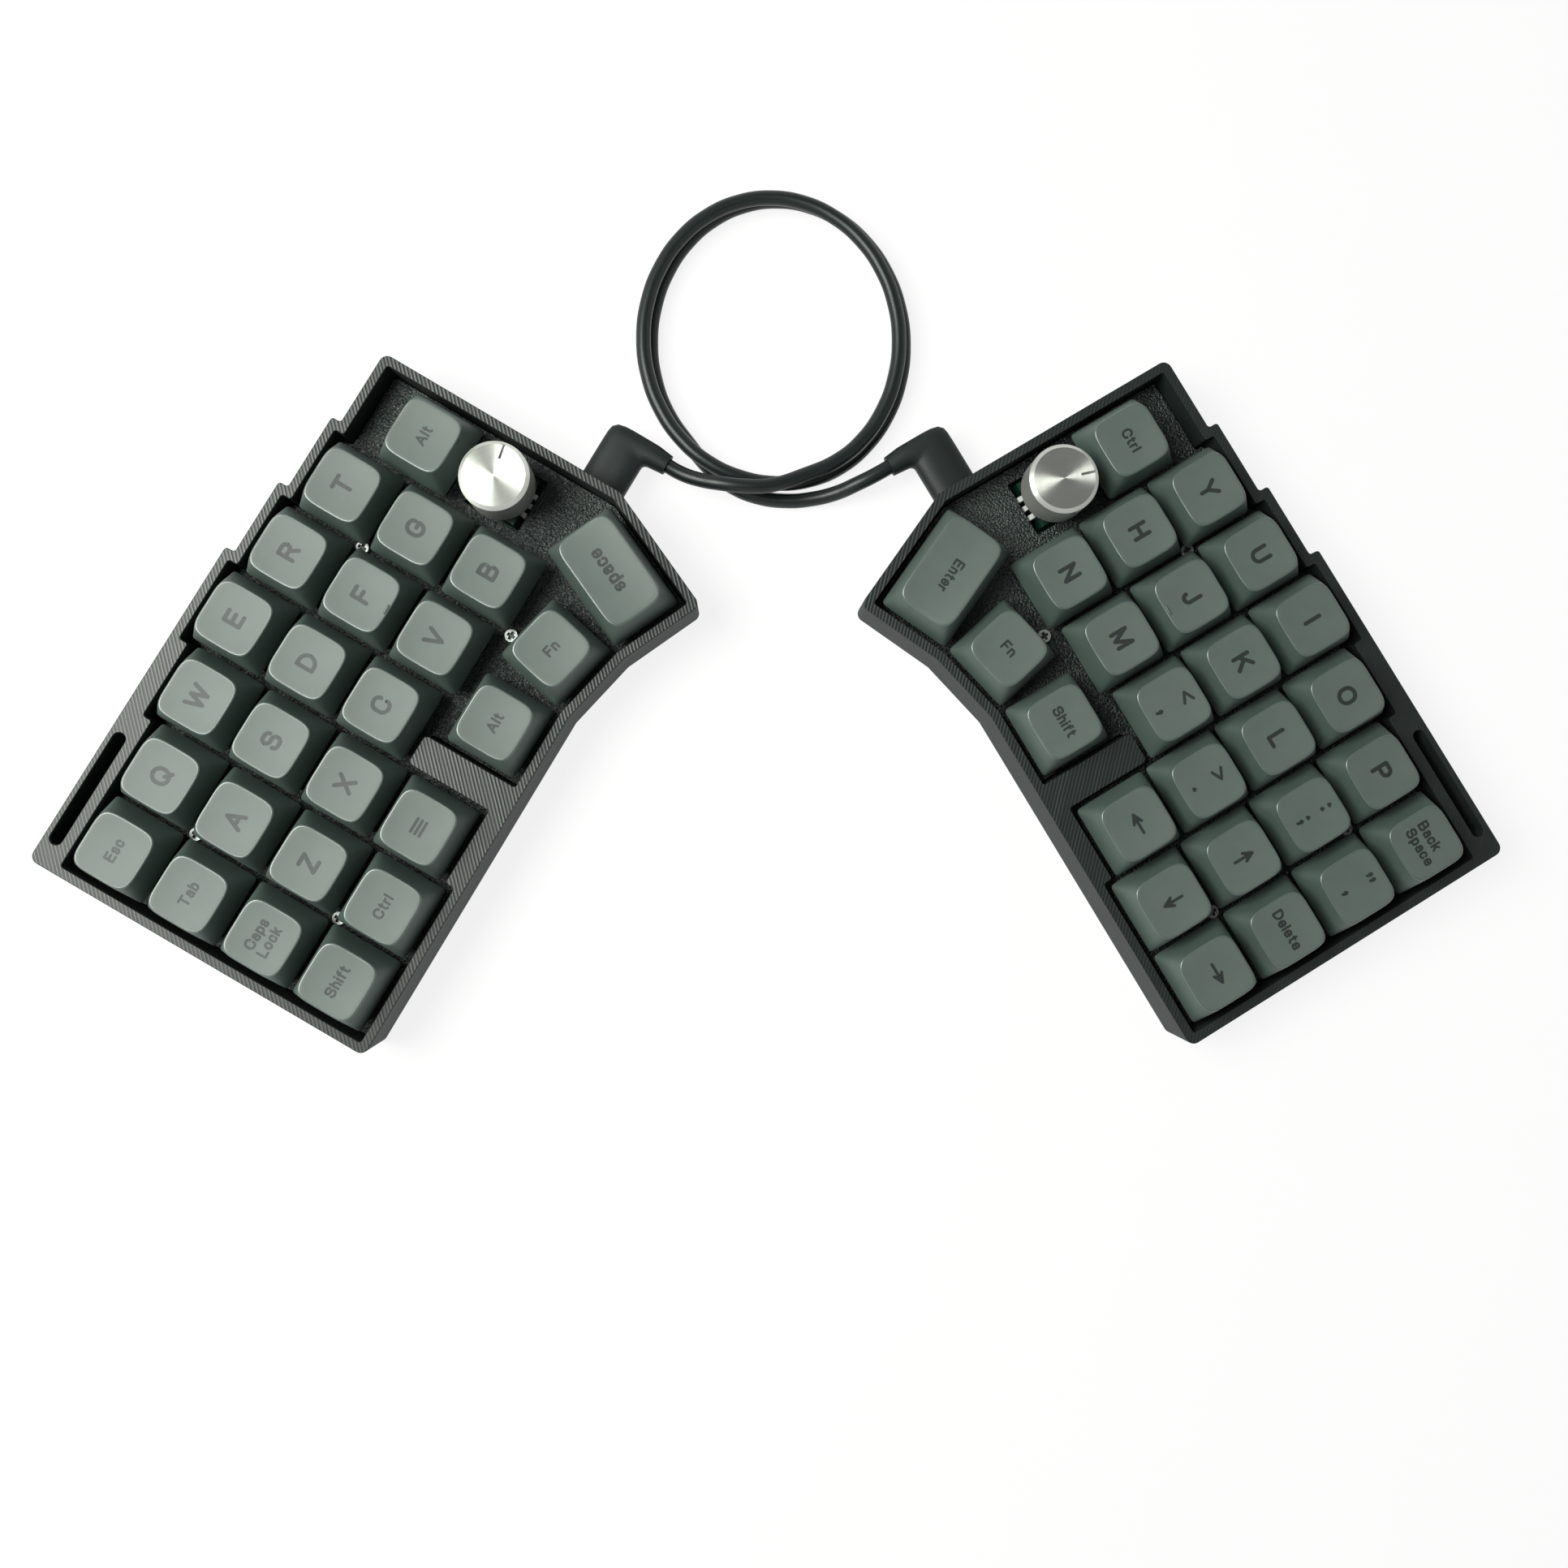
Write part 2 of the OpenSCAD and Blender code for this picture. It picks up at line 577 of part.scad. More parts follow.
module chip() {
    color("black") translate([column_x(6), -pitch - chip_w / 2, BOARD_Z - solder_gap - chip_t])
        cube([chip_w, chip_w, chip_t]);
}

// Switch body: flanged box in the plate with a tapered top and a well for the slider
WELL_Z = SLIDER_Z - travel - bottom_play;
module switch_housing() {
    well = [slider_x + 2 * slider_play, slider_y + 2 * slider_play];
    color([0.1, 0.1, 0.1]) translate([0, 0, PLATE_TOP]) difference() {
        union() {
            translate([-body_w / 2, -body_w / 2, -board_drop]) cube([body_w, body_w, board_drop]);
            translate([-flange_w / 2, -flange_w / 2, 0]) cube([flange_w, flange_w, flange_t]);
            translate([0, 0, flange_t])
                tapered_block([body_w, body_w], [body_w, body_w] - 2 * body_lean, body_top - flange_t);
            translate([0, 0, -board_drop - board_t - peg_reach])
                cylinder(board_t + peg_reach + EPS, d = peg_d);
        }
        translate([-well.x / 2, -well.y / 2, WELL_Z]) cube([well.x, well.y, body_top - WELL_Z + EPS]);
    }
}

// Cross-head screw
module screw() {
    color("silver") difference() {
        union() {
            translate([0, 0, PLATE_TOP]) cylinder(head_h, d = head_d);
            translate([0, 0, PLATE_TOP - screw_l]) cylinder(screw_l + EPS, d = screw_d);
        }
        translate([0, 0, PLATE_TOP + head_h / 2]) cross_block(recess_w, recess_t, head_h);
    }
}

// Right-angle plug: flat grip with a tapered round tail, and a metal tongue in the socket
PLUG_X = WALL_X;
TAIL_X = PLUG_X + plug_l - plug_t / 2;
TAIL_Y = -jack_y - plug_w / 2 - tail_l;
module plug_outline() {
    difference() {
        translate([PLUG_X, -jack_y - plug_w / 2]) square([plug_l, plug_w]);
        translate([PLUG_X + plug_l - elbow_r, -jack_y + plug_w / 2 - elbow_r]) difference() {
            square(2 * elbow_r);
            circle(elbow_r);
        }
    }
}
module plug_grip() {
    color([0.09, 0.09, 0.1]) difference() {
        union() {
            intersection() {
                translate([PLUG_X, -jack_y, JACK_Z]) rotate([90, 0, 90])
                    linear_extrude(plug_l) stadium(plug_w, plug_t);
                linear_extrude(JACK_Z + plug_t) plug_outline();
            }
            translate([TAIL_X, -jack_y, JACK_Z]) rotate([90, 0, 0])
                cylinder(plug_w / 2 + tail_l, d1 = plug_t, d2 = tail_d);
        }
        translate([PLUG_X - EPS, -jack_y, JACK_Z]) rotate([90, 0, 90])
            linear_extrude(tongue_root + root_play + EPS)
            stadium(TONGUE_W + 2 * root_play, TONGUE_H + 2 * root_play);
    }
}
module plug_tongue() {
    color("silver") translate([PLUG_X - tongue_l, -jack_y, JACK_Z]) rotate([90, 0, 90])
        linear_extrude(tongue_l + tongue_root) stadium(TONGUE_W, TONGUE_H);
}

// Link cable: out of the left plug, twice round a loose ring, and into the right plug
RING_MIDDLE = [-0.8, 88.5];
RING_R = [31, 35];
RING_TURN = 24;
// Sideways lie of the upper and the lower turn
RING_LIE = 0.8;
// Reach of the lower turn past the upper one on the far side
RING_REACH = 0.9;
LAY_LOW = 1.9;
LAY_STEP = 4.1;
// A point in line with the left plug's tail, at a distance past its end, and its mirror image
function tail_line(d) =
    concat([-half_x, HALF_Y] + turn([TAIL_X, TAIL_Y - d], half_turn), JACK_Z);
function mirrored(p) = [-p.x, p.y, p.z];
LEFT_LEAD = [tail_line(-cable_seat), tail_line(cable_d), [-19, 53.4, 8], [-14, 52.2, 9.6],
    [-8, 51.5, 10], [-2, 51.8, 9.6]];
RIGHT_LEAD = [[-16, 56.7, 1.9], [-11, 52.9, 1.9], [-5, 50.5, 1.9], [2, 49.6, 1.9], [8, 50, 2.3],
    [14, 51.2, 3.8], [19, 53, 6.2], mirrored(tail_line(cable_d)), mirrored(tail_line(-cable_seat))];
// Angles at which the cable joins the ring, drops to the lower turn, and leaves the ring
RING_FROM = 285;
RING_TO = 945;
DROP_FROM = 600;
DROP_TO = 660;
function ease(x) = let (t = max(0, min(1, x))) t * t * (3 - 2 * t);
function ring_point(a) =
    let (low = ease((a - DROP_FROM) / (DROP_TO - DROP_FROM)),
         start = 1 - ease((a - RING_FROM) / 40))
    [RING_MIDDLE.x + (2 * low - 1) * RING_LIE + RING_R.x * cos(a),
     RING_MIDDLE.y + RING_R.y * sin(a) + RING_REACH * low * max(0, sin(a)),
     LAY_LOW + LAY_STEP * (1 - low) + start * 2.6];
ROUTE = concat(LEFT_LEAD, [for (a = [RING_FROM:360 / RING_TURN:RING_TO]) ring_point(a)], RIGHT_LEAD);
CABLE_SIDES = 8;
function unit(v) = v / norm(v);
function along(i) = unit(ROUTE[min(i + 1, len(ROUTE) - 1)] - ROUTE[max(i - 1, 0)]);
module link_cable() {
    n = len(ROUTE);
    points = [for (i = [0:n - 1])
        let (t = along(i), side = unit(cross(t, [0, 0, 1])), up = cross(side, t))
        for (k = [0:CABLE_SIDES - 1])
            let (a = 360 * (k + 0.5) / CABLE_SIDES)
            ROUTE[i] + cable_d / 2 * (side * cos(a) + up * sin(a))];
    walls = [for (i = [0:n - 2]) for (k = [0:CABLE_SIDES - 1])
        let (p = i * CABLE_SIDES + k, q = i * CABLE_SIDES + (k + 1) % CABLE_SIDES)
        each [[p, q, p + CABLE_SIDES], [q, q + CABLE_SIDES, p + CABLE_SIDES]]];
    last = (n - 1) * CABLE_SIDES;
    ends = [for (k = [1:CABLE_SIDES - 2]) each [[0, k + 1, k], [last, last + k, last + k + 1]]];
    color([0.07, 0.08, 0.08]) polyhedron(points, concat(walls, ends));
}
// Least gap between parts of the cable that lie well apart along it, and its length
GAP_STEPS = 4;
FINE_ROUTE = [for (i = [0:len(ROUTE) - 2]) for (k = [0:GAP_STEPS - 1])
    ROUTE[i] + (ROUTE[i + 1] - ROUTE[i]) * k / GAP_STEPS];
CABLE_GAP = min([for (i = [0:len(FINE_ROUTE) - 1]) for (j = [i + 8 * GAP_STEPS:1:len(FINE_ROUTE) - 1])
    norm(FINE_ROUTE[i] - FINE_ROUTE[j])]) - cable_d;
function route_length(i = 0) =
    i > len(ROUTE) - 2 ? 0 : norm(ROUTE[i + 1] - ROUTE[i]) + route_length(i + 1);
echo(cable_gap = CABLE_GAP, cable_length = route_length());

for (k = KEYS) key(k);
knob(0);  // left_knob
knob(1);  // right_knob
on_side(0) tray();  // left_case
on_side(1) tray();  // right_case
on_both_sides() plate();  // switch_plates
on_both_sides() {  // circuit_boards
    board();
    encoder_body();
    jack();
    chip();
}
on_both_sides() at_keys(0) switch_housing();  // switch_housings
on_both_sides() for (p = SCREWS) translate(p) screw();  // plate_screws
on_both_sides() {  // link_plugs
    plug_grip();
    plug_tongue();
}
link_cable();
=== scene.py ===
"""Dresses a packed split keyboard: key caps with legends, printed trays, knobs and the link cable."""

import math

import bmesh
import bpy
from mathutils import Matrix, Vector
from mathutils.geometry import interpolate_bezier


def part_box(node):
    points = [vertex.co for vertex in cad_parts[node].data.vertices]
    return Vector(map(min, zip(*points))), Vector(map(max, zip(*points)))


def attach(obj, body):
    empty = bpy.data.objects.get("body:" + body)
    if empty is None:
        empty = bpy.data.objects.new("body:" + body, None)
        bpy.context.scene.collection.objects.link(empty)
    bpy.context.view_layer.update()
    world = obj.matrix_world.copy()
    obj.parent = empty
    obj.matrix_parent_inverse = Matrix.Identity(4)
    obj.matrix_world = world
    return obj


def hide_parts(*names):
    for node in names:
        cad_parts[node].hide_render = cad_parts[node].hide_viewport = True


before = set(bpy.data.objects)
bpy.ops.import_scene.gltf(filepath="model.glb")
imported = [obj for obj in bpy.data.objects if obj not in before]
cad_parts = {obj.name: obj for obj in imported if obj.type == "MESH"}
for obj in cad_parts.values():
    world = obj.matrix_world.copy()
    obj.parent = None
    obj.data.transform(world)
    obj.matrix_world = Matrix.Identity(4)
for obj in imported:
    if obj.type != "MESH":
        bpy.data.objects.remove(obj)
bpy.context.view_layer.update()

bl_info = {
    "name": "Split keyboard",
    "version": (1, 0, 0),
    "blender": (4, 5, 0),
    "location": "3D View > Sidebar > Keyboard",
    "description": "Dresses the two halves of a split keyboard, its keys, knobs and link cable",
    "category": "Object",
}

MM = 0.001
STATIC_BODY = "halves"
ROUND_STEPS = 64

# Keys of each half, and the legends, as lines of signs, of those that don't show the end of their name
LEFT_KEYS = (
    "esc q w e r t tab a s d f g caps_lock z x c v b left_shift left_ctrl menu "
    "left_inner_alt left_thumb_alt left_fn space"
).split()
RIGHT_KEYS = (
    "backspace p o i u y quote semicolon l k j h delete arrow_up period comma m n "
    "arrow_right arrow_down arrow_left right_inner_ctrl right_thumb_shift right_fn enter"
).split()
LEGENDS = {
    "caps_lock": ["Caps", "Lock"],
    "menu": [["menu"]],
    "space": ["space"],
    "backspace": ["Back", "Space"],
    "quote": ["”", "’"],
    "semicolon": [":", ";"],
    "arrow_up": [["arrow"]],
    "period": [">", "."],
    "comma": ["<", ","],
    "arrow_right": [["arrow"]],
    "arrow_down": [["arrow"]],
    "arrow_left": [["arrow"]],
}
# Turn of the fanned thumb keys, in steps, and of the legends that don't stand upright, in degrees
THUMB_STEPS = {"left_fn": 1, "right_fn": 1, "space": 2, "enter": 2}
LEGEND_TURNS = {"space": 90, "enter": -90, "arrow_up": 90, "arrow_left": 180, "arrow_down": 270}
# Sideways and forward place of the legends that lie off the middle of their cap, in millimetres
LEGEND_SHIFTS = {"space": (-0.45, 0.35), "enter": (0.45, -0.85)}
LONG_KEYS = ("space", "enter")
HOME_KEYS = ("f", "j")
# Strokes of a round pen on a grid where capitals are 6 high: points as x,y, an o where the pen swings
# round a point, and a / where it lifts
PEN_STROKES = {
    "A": "0,0 2.5,6 5,0 / 0.9,2 4.1,2",
    "B": "0,3.1 0,6 3.7,6o 3.7,3.1o 0,3.1 0,0 4.1,0o 4.1,3.1o 2,3.1",
    "C": "4.5,4.2 4.5,6o 0,6o 0,0o 4.5,0o 4.5,1.8",
    "D": "0,0 0,6 4.5,6o 4.5,0o 0,0",
    "E": "3.8,6 0,6 0,0 3.8,0 / 0,3.1 3.4,3.1",
    "F": "3.7,6 0,6 0,0 / 0,3 3.2,3",
    "G": "4.6,4.3 4.6,6o 0,6o 0,0o 4.7,0o 4.7,2.8 2.7,2.8",
    "H": "0,0 0,6 / 4.3,0 4.3,6 / 0,3 4.3,3",
    "I": "0,0 0,6",
    "J": "3.2,6 3.2,0o 0,0o 0,1.6",
    "K": "0,0 0,6 / 4.3,6 0,2.2 / 1.6,3.6 4.5,0",
    "L": "0,6 0,0 3.5,0",
    "M": "0,0 0,6 2.7,0.2 5.4,6 5.4,0",
    "N": "0,0 0,6 4.3,0 4.3,6",
    "O": "2.6,6 5.2,6o 5.2,0o 0,0o 0,6o 2.6,6",
    "P": "0,0 0,6 4.1,6o 4.1,2.7o 0,2.7",
    "Q": "2.6,6 5.2,6o 5.2,0o 0,0o 0,6o 2.6,6 / 3.1,1.7 5.1,-0.3",
    "R": "0,0 0,6 4.1,6o 4.1,3o 0,3 / 2.5,3 4.3,0",
    "S": "4,4.5 4,6o 0.1,6o 0.1,3.2o 4.2,3.2o 4.2,0o 0,0o 0,1.5",
    "T": "0,6 4.6,6 / 2.3,6 2.3,0",
    "U": "0,6 0,0o 4.3,0o 4.3,6",
    "V": "0,6 2.4,0 4.8,6",
    "W": "0,6 1.8,0 3.6,5.6 5.4,0 7.2,6",
    "X": "0,0 4.5,6 / 0,6 4.5,0",
    "Y": "0,6 2.4,2.7 4.8,6 / 2.4,2.7 2.4,0",
    "Z": "0,6 4,6 0,0 4,0",
    "a": "0.3,3.3 0.3,4.2o 2.8,4.2o 2.8,0 / 2.8,2.4 0,2.4o 0,0o 2.8,0o 2.8,1.2",
    "b": "0,6 0,0 / 0,2.1 0,0o 3,0o 3,4.2o 0,4.2o 0,2.1",
    "c": "2.9,3 2.9,4.2o 0,4.2o 0,0o 2.9,0o 2.9,1.2",
    "e": "0,2.1 3,2.1 3,4.2o 0,4.2o 0,0o 2.9,0o 2.9,0.9",
    "f": "2,6 0.7,6o 0.7,0 / 0,4.2 1.8,4.2",
    "h": "0,6 0,0 / 0,2.6 0,4.2o 2.9,4.2o 2.9,0",
    "i": "0,0 0,4.2 / 0,6 0,6.1",
    "k": "0,6 0,0 / 2.7,4.2 0,1.6 / 1.1,2.6 2.9,0",
    "l": "0,6 0,0",
    "n": "0,4.2 0,0 / 0,2.6 0,4.2o 2.9,4.2o 2.9,0",
    "o": "1.6,4.2 3.2,4.2o 3.2,0o 0,0o 0,4.2o 1.6,4.2",
    "p": "0,4.2 0,-1.8 / 0,2.1 0,4.2o 3,4.2o 3,0o 0,0o 0,2.1",
    "r": "0,4.2 0,0 / 0,2.6 0,4.2o 1.6,4.2",
    "s": "2.5,3.3 2.5,4.2o 0,4.2o 0,2.1o 2.6,2.1o 2.6,0o 0,0o 0,0.9",
    "t": "0.7,5.6 0.7,0o 2,0 / 0,4.2 1.9,4.2",
    "<": "5.2,6.5 0,3.9 5.2,1.3",
    ">": "0,5.1 5.2,2.5 0,-0.1",
    ".": "0,0.9 0.9,0.9 0.45,1.6 0,0.9",
    ",": "0,1.8 0.9,1.8 0.45,2.5 0,1.8 / 0.9,1.8 0.2,-0.3",
    ":": "0,1.6 0.9,1.6 0.45,2.3 0,1.6 / 0,5.8 0.9,5.8 0.45,6.5 0,5.8",
    ";": "0,6.5 0.9,6.5 0.45,7.2 0,6.5 / 0,2.5 0.9,2.5 0.45,3.2 0,2.5 / 0.9,2.5 0.2,0.4",
    "”": "0,5.4 0.8,5.4 0.4,6 0,5.4 / 0.8,5.4 0.2,3.6 / "
    "2.9,5.4 3.7,5.4 3.3,6 2.9,5.4 / 3.7,5.4 3.1,3.6",
    "’": "0,3.1 0.8,3.1 0.4,3.7 0,3.1 / 0.8,3.1 0.2,1.3",
    "arrow": "-5.3,3 4,3 / 0.4,5.2 5,3 0.4,0.8 / 1.3,4 3.6,3 1.3,2",
    "menu": "0,0.6 7.4,0.6 / 0,3 7.4,3 / 0,5.4 7.4,5.4",
}
CAPITAL = 6.0
PEN_WIDTH = 1.5
LETTER_GAP = 2.15
# Pull and steps of the pen's swings, and steps of its round ends
SWING_PULL = 0.45
SWING_STEPS = 7
PEN_STEPS = 14
# Height of the print over the dish, its depth under it, and its thickness before it is laid on the dish
PRINT_RISE = 0.03 * MM
PRINT_SINK = 0.05 * MM
PRINT_SPAN = 1.0 * MM
# Step between strokes that cross, so that no two faces lie in one another
HAIR = 0.003 * MM


def number(name, description, value, **settings):
    """A number property"""
    return bpy.props.FloatProperty(name=name, description=description, default=value, **settings)


def vector(name, description, values, **settings):
    """A property of two or three numbers"""
    return bpy.props.FloatVectorProperty(
        name=name, description=description, default=values, size=len(values), **settings
    )


def length(name, description, millimetres):
    """A length property, given in millimetres and kept in metres"""
    settings = {"min": 0.0, "precision": 5, "subtype": "DISTANCE", "unit": "LENGTH"}
    return number(name, description, millimetres * MM, **settings)


def angle(name, description, degrees):
    """An angle property, given in degrees"""
    return number(name, description, math.radians(degrees), subtype="ANGLE", unit="ROTATION")


def spot(name, description, metres):
    """A place property, in metres"""
    return vector(name, description, metres, precision=5, subtype="TRANSLATION", unit="LENGTH")


def colour(name, description, rgb):
    """A colour property, in linear light"""
    return vector(name, description, rgb, min=0.0, max=1.0, subtype="COLOR")


class KeyboardSizes(bpy.types.PropertyGroup):
    """Sizes of the dressed keyboard"""

    half_turn: angle("Half turn", "Turn of each half on the desk", 59.25)
    half_x: length("Half distance", "From the centre line to the middle of a half", 93.95)
    half_y: length("Half forward", "Forward place of the middle of a half", 0.608)
    thumb_turn: angle("Thumb turn", "Turn of each thumb key against the one before it", 12.0)
    plate_top: length("Plate top", "Height of the switch plate's top", 10.4)
    knob_x: length("Knob place", "Sideways place of the knob from the middle of its half", 57.15)
    skirt_lift: length("Skirt lift", "Height of a cap's skirt above the plate", 6.0)
    cap_width: length("Cap width", "Width of a cap at its skirt", 18.1)
    cap_height: length("Cap height", "Height of a cap", 9.2)
    cap_lean: length("Cap lean", "Lean of each cap side over its height", 1.85)
    cap_wall: length("Cap wall", "Wall of a cap", 1.3)
    cap_foot_round: length("Skirt reach", "Reach of a cap's skirt along its diagonal", 12.384)
    cap_top_round: length("Top reach", "Reach of a cap's top along its diagonal", 8.815)
    cap_edge: length("Cap edge", "Rounding of the edge round a cap's top", 0.4)
    dish_depth: length("Dish depth", "Depth of the finger dish", 0.5)
    long_extra: length("Long cap", "Added length of the two long thumb caps", 9.525)
    letter_height: length("Letters", "Height of single letters on the caps", 4.75)
    word_height: length("Words", "Height of the capitals of words on the caps", 2.65)
    small_word_height: length("Small words", "The same for a word in small letters only", 3.4)
    sign_height: length("Signs", "Height of the grid of arrows and punctuation", 3.4)
    line_pitch: length("Line pitch", "Distance between the lines of a legend", 3.35)
    sign_pitch: length("Sign pitch", "Distance between two signs on a cap", 6.1)
    tray_edge: length("Tray edge", "Rounding of the tray's edges", 0.3)
    cable_diameter: length("Cable", "Diameter of the link cable", 3.6)


class KeyboardColours(bpy.types.PropertyGroup):
    """Colours of the dressed keyboard"""

    cap: colour("Caps", "Grey of the key caps", (0.058, 0.085, 0.075))
    # Painted light: the dished tops are the caps' own plastic, painted a paler grey than the skirts
    cap_top_painted_light: colour("Cap tops", "Paler grey of the caps' dished tops", (0.090, 0.114, 0.104))
    legend: colour("Legends", "Dark print on the key caps", (0.012, 0.017, 0.016))
    tray: colour("Trays", "Charcoal of the printed trays", (0.008, 0.0125, 0.0115))
    plate: colour("Plates", "Black of the pebbled switch plates", (0.009, 0.015, 0.014))
    switch: colour("Switches", "Black of the switch bodies", (0.006, 0.011, 0.011))
    slider: colour("Sliders", "White of the switch sliders", (0.55, 0.55, 0.53))
    board: colour("Boards", "Green of the circuit boards", (0.006, 0.075, 0.042))
    metal: colour("Metal", "Turned aluminium", (0.65, 0.67, 0.62))
    steel: colour("Steel", "Plated steel of the screws and legs", (0.50, 0.53, 0.51))
    rubber: colour("Cable", "Black of the cable and its plugs", (0.007, 0.011, 0.011))
    floor: colour("Floor", "White of the floor", (0.90, 0.90, 0.90))


class KeyboardStage(bpy.types.PropertyGroup):
    """Camera and light"""

    camera_place: spot("Camera place", "Place of the camera", (-0.00999, -0.02674, 0.37448))
    camera_turn: vector(
        "Camera turn", "Turn of the camera", (0.0640, -0.0443, -0.0046), subtype="EULER", unit="ROTATION"
    )
    lens: number("Lens", "Focal length in millimetres", 35.50, unit="CAMERA")
    shift: vector("Shift", "Sideways shift of the frame", (-0.0144, -0.0434))
    lamp_place: spot("Lamp place", "Place of the main soft lamp", (-0.42, 0.06, 0.64))
    lamp_size: length("Lamp size", "Width of the main soft lamp", 500.0)
    lamp_power: number("Lamp power", "Power of the main soft lamp", 8.6, unit="POWER")
    lamp_colour: colour("Lamp colour", "Tint of the main soft lamp", (0.97, 1.0, 0.94))
    room_light: number("Room light", "Strength of the even light from the room", 0.20)
    ceiling: number("Ceiling", "Brightness of the open ceiling over the white backdrop", 0.18)


# Objects and meshes


def linked(name, data):
    """A new object in the scene"""
    made = bpy.data.objects.new(name, data)
    bpy.context.scene.collection.objects.link(made)
    return made


def show(mesh, name, body, nodes, materials):
    """Links a finished mesh as a piece that rides on a body and stands for CAD nodes"""
    piece = linked(name, mesh)
    for made in materials:
        mesh.materials.append(made)
    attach(piece, body)
    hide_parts(*nodes)
    return piece


def finished_mesh(bm, name, sharp):
    """Turns a bmesh into a smooth-shaded mesh with sharp edges past an angle in degrees"""
    mesh = bpy.data.meshes.new(name)
    bm.to_mesh(mesh)
    bm.free()
    mesh.polygons.foreach_set("use_smooth", [True] * len(mesh.polygons))
    mesh.set_sharp_from_angle(angle=math.radians(sharp))
    return mesh


def cad_copy(node):
    """A merged copy of a CAD node's mesh, with its flat faces joined"""
    bm = bmesh.new()
    bm.from_mesh(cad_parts[node].data)
    for layers in (bm.loops.layers.uv, bm.loops.layers.float_vector, bm.verts.layers.float_vector):
        for layer in list(layers.values()):
            layers.remove(layer)
    bmesh.ops.remove_doubles(bm, verts=bm.verts, dist=1e-6)
    bmesh.ops.dissolve_limit(
        bm, angle_limit=math.radians(0.5), use_dissolve_boundaries=False, verts=bm.verts, edges=bm.edges
    )
    return bm


def round_edges(piece, name, width, segments, sharp):
    """Rounds those edges of a piece that are sharper than an angle in degrees"""
    edges = piece.modifiers.new(name, "BEVEL")
    edges.width = width
    edges.segments = segments
    edges.limit_method = "ANGLE"
    edges.angle_limit = math.radians(sharp)


def refinished(node, ending, body, finishes, sharp, choose):
    """Shows a CAD node, each face in the finish that choose(its normal's rise, its depth) gives"""
    bm = cad_copy(node)
    bm.normal_update()
    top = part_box(node)[1].z
    for face in bm.faces:
        face.material_index = choose(face.normal.z, top - face.calc_center_median().z)
    mesh = finished_mesh(bm, node + ending, sharp)
    return show(mesh, node + ending, body, [node], finishes)


def half_matrix(sizes, side):
    """From a half's typing frame to the desk; side 1 is the mirror image"""
    place = Matrix.Translation((-sizes.half_x, sizes.half_y, 0))
    place = place @ Matrix.Rotation(sizes.half_turn, 4, "Z")
    return Matrix.Scale(-1, 4, (1, 0, 0)) @ place if side else place


# Materials


def add_node(tree, kind, inputs=(), **settings):
    """Adds a node, sets it, and fills its inputs with values or links"""
    made = tree.nodes.new(kind)
    for key, value in settings.items():
        setattr(made, key, value)
    for key, value in dict(inputs).items():
        if isinstance(value, bpy.types.NodeSocket):
            tree.links.new(value, made.inputs[key])
        else:
            made.inputs[key].default_value = value
    return made


def worked(tree, operation, *values):
    """The result of one step of arithmetic on values or links"""
    return add_node(tree, "ShaderNodeMath", enumerate(values), operation=operation).outputs[0]


def new_material(name, **sockets):
    """A material with a Principled shader whose constant sockets are set directly"""
    made = bpy.data.materials.new(name)
    made.use_nodes = True
    shader = made.node_tree.nodes["Principled BSDF"]
    for key, value in sockets.items():
        shader.inputs[key.replace("_", " ")].default_value = value
    return made, made.node_tree, shader


def feed(tree, shader, **links):
    """Links patterns to a shader's sockets"""
    for key, value in links.items():
        tree.links.new(value, shader.inputs[key.replace("_", " ")])


def object_coordinates(tree):
    """Coordinates in the frame that all pieces share"""
    return add_node(tree, "ShaderNodeTexCoord").outputs["Object"]


def half_coordinates(tree, sizes):
    """Coordinates in the typing frame of a half, the same on both halves"""
    parts = add_node(tree, "ShaderNodeSeparateXYZ", {0: object_coordinates(tree)})
    left = worked(tree, "MULTIPLY", worked(tree, "ABSOLUTE", parts.outputs["X"]), -1.0)
    joined = {"X": left, "Y": parts.outputs["Y"], "Z": parts.outputs["Z"]}
    inputs = {
        "Vector": add_node(tree, "ShaderNodeCombineXYZ", joined).outputs[0],
        "Location": (-sizes.half_x, sizes.half_y, 0.0),
        "Rotation": (0.0, 0.0, sizes.half_turn),
    }
    return add_node(tree, "ShaderNodeMapping", inputs, vector_type="TEXTURE").outputs[0]


def noise(tree, coordinates, grain, detail=3.0, roughness=0.55, stretch=None):
    """Noise with a grain size in metres, stretched along an axis if asked"""
    if stretch:
        inputs = {"Vector": coordinates, "Scale": stretch}
        coordinates = add_node(tree, "ShaderNodeMapping", inputs).outputs[0]
    inputs = {"Vector": coordinates, "Scale": 1.0 / grain, "Detail": detail, "Roughness": roughness}
    return add_node(tree, "ShaderNodeTexNoise", inputs).outputs["Fac"]


def ranged(tree, value, low, high, start=0.3, end=0.7):
    """Maps a pattern's middle range to the range low to high"""
    inputs = {"Value": value, "From Min": start, "From Max": end, "To Min": low, "To Max": high}
    return add_node(tree, "ShaderNodeMapRange", inputs).outputs[0]


def tinted(tree, value, dark, light, start=0.3, end=0.7):
    """Colours a pattern between two tints"""
    ramp = add_node(tree, "ShaderNodeValToRGB", {"Fac": value})
    for element, place, rgb in zip(ramp.color_ramp.elements, (start, end), (dark, light)):
        element.position = place
        element.color = (*rgb, 1.0)
    return ramp.outputs["Color"]


def shades(rgb, dark, light):
    """A darker and a lighter shade of a colour"""
    return [c * dark for c in rgb], [min(1.0, c * light) for c in rgb]


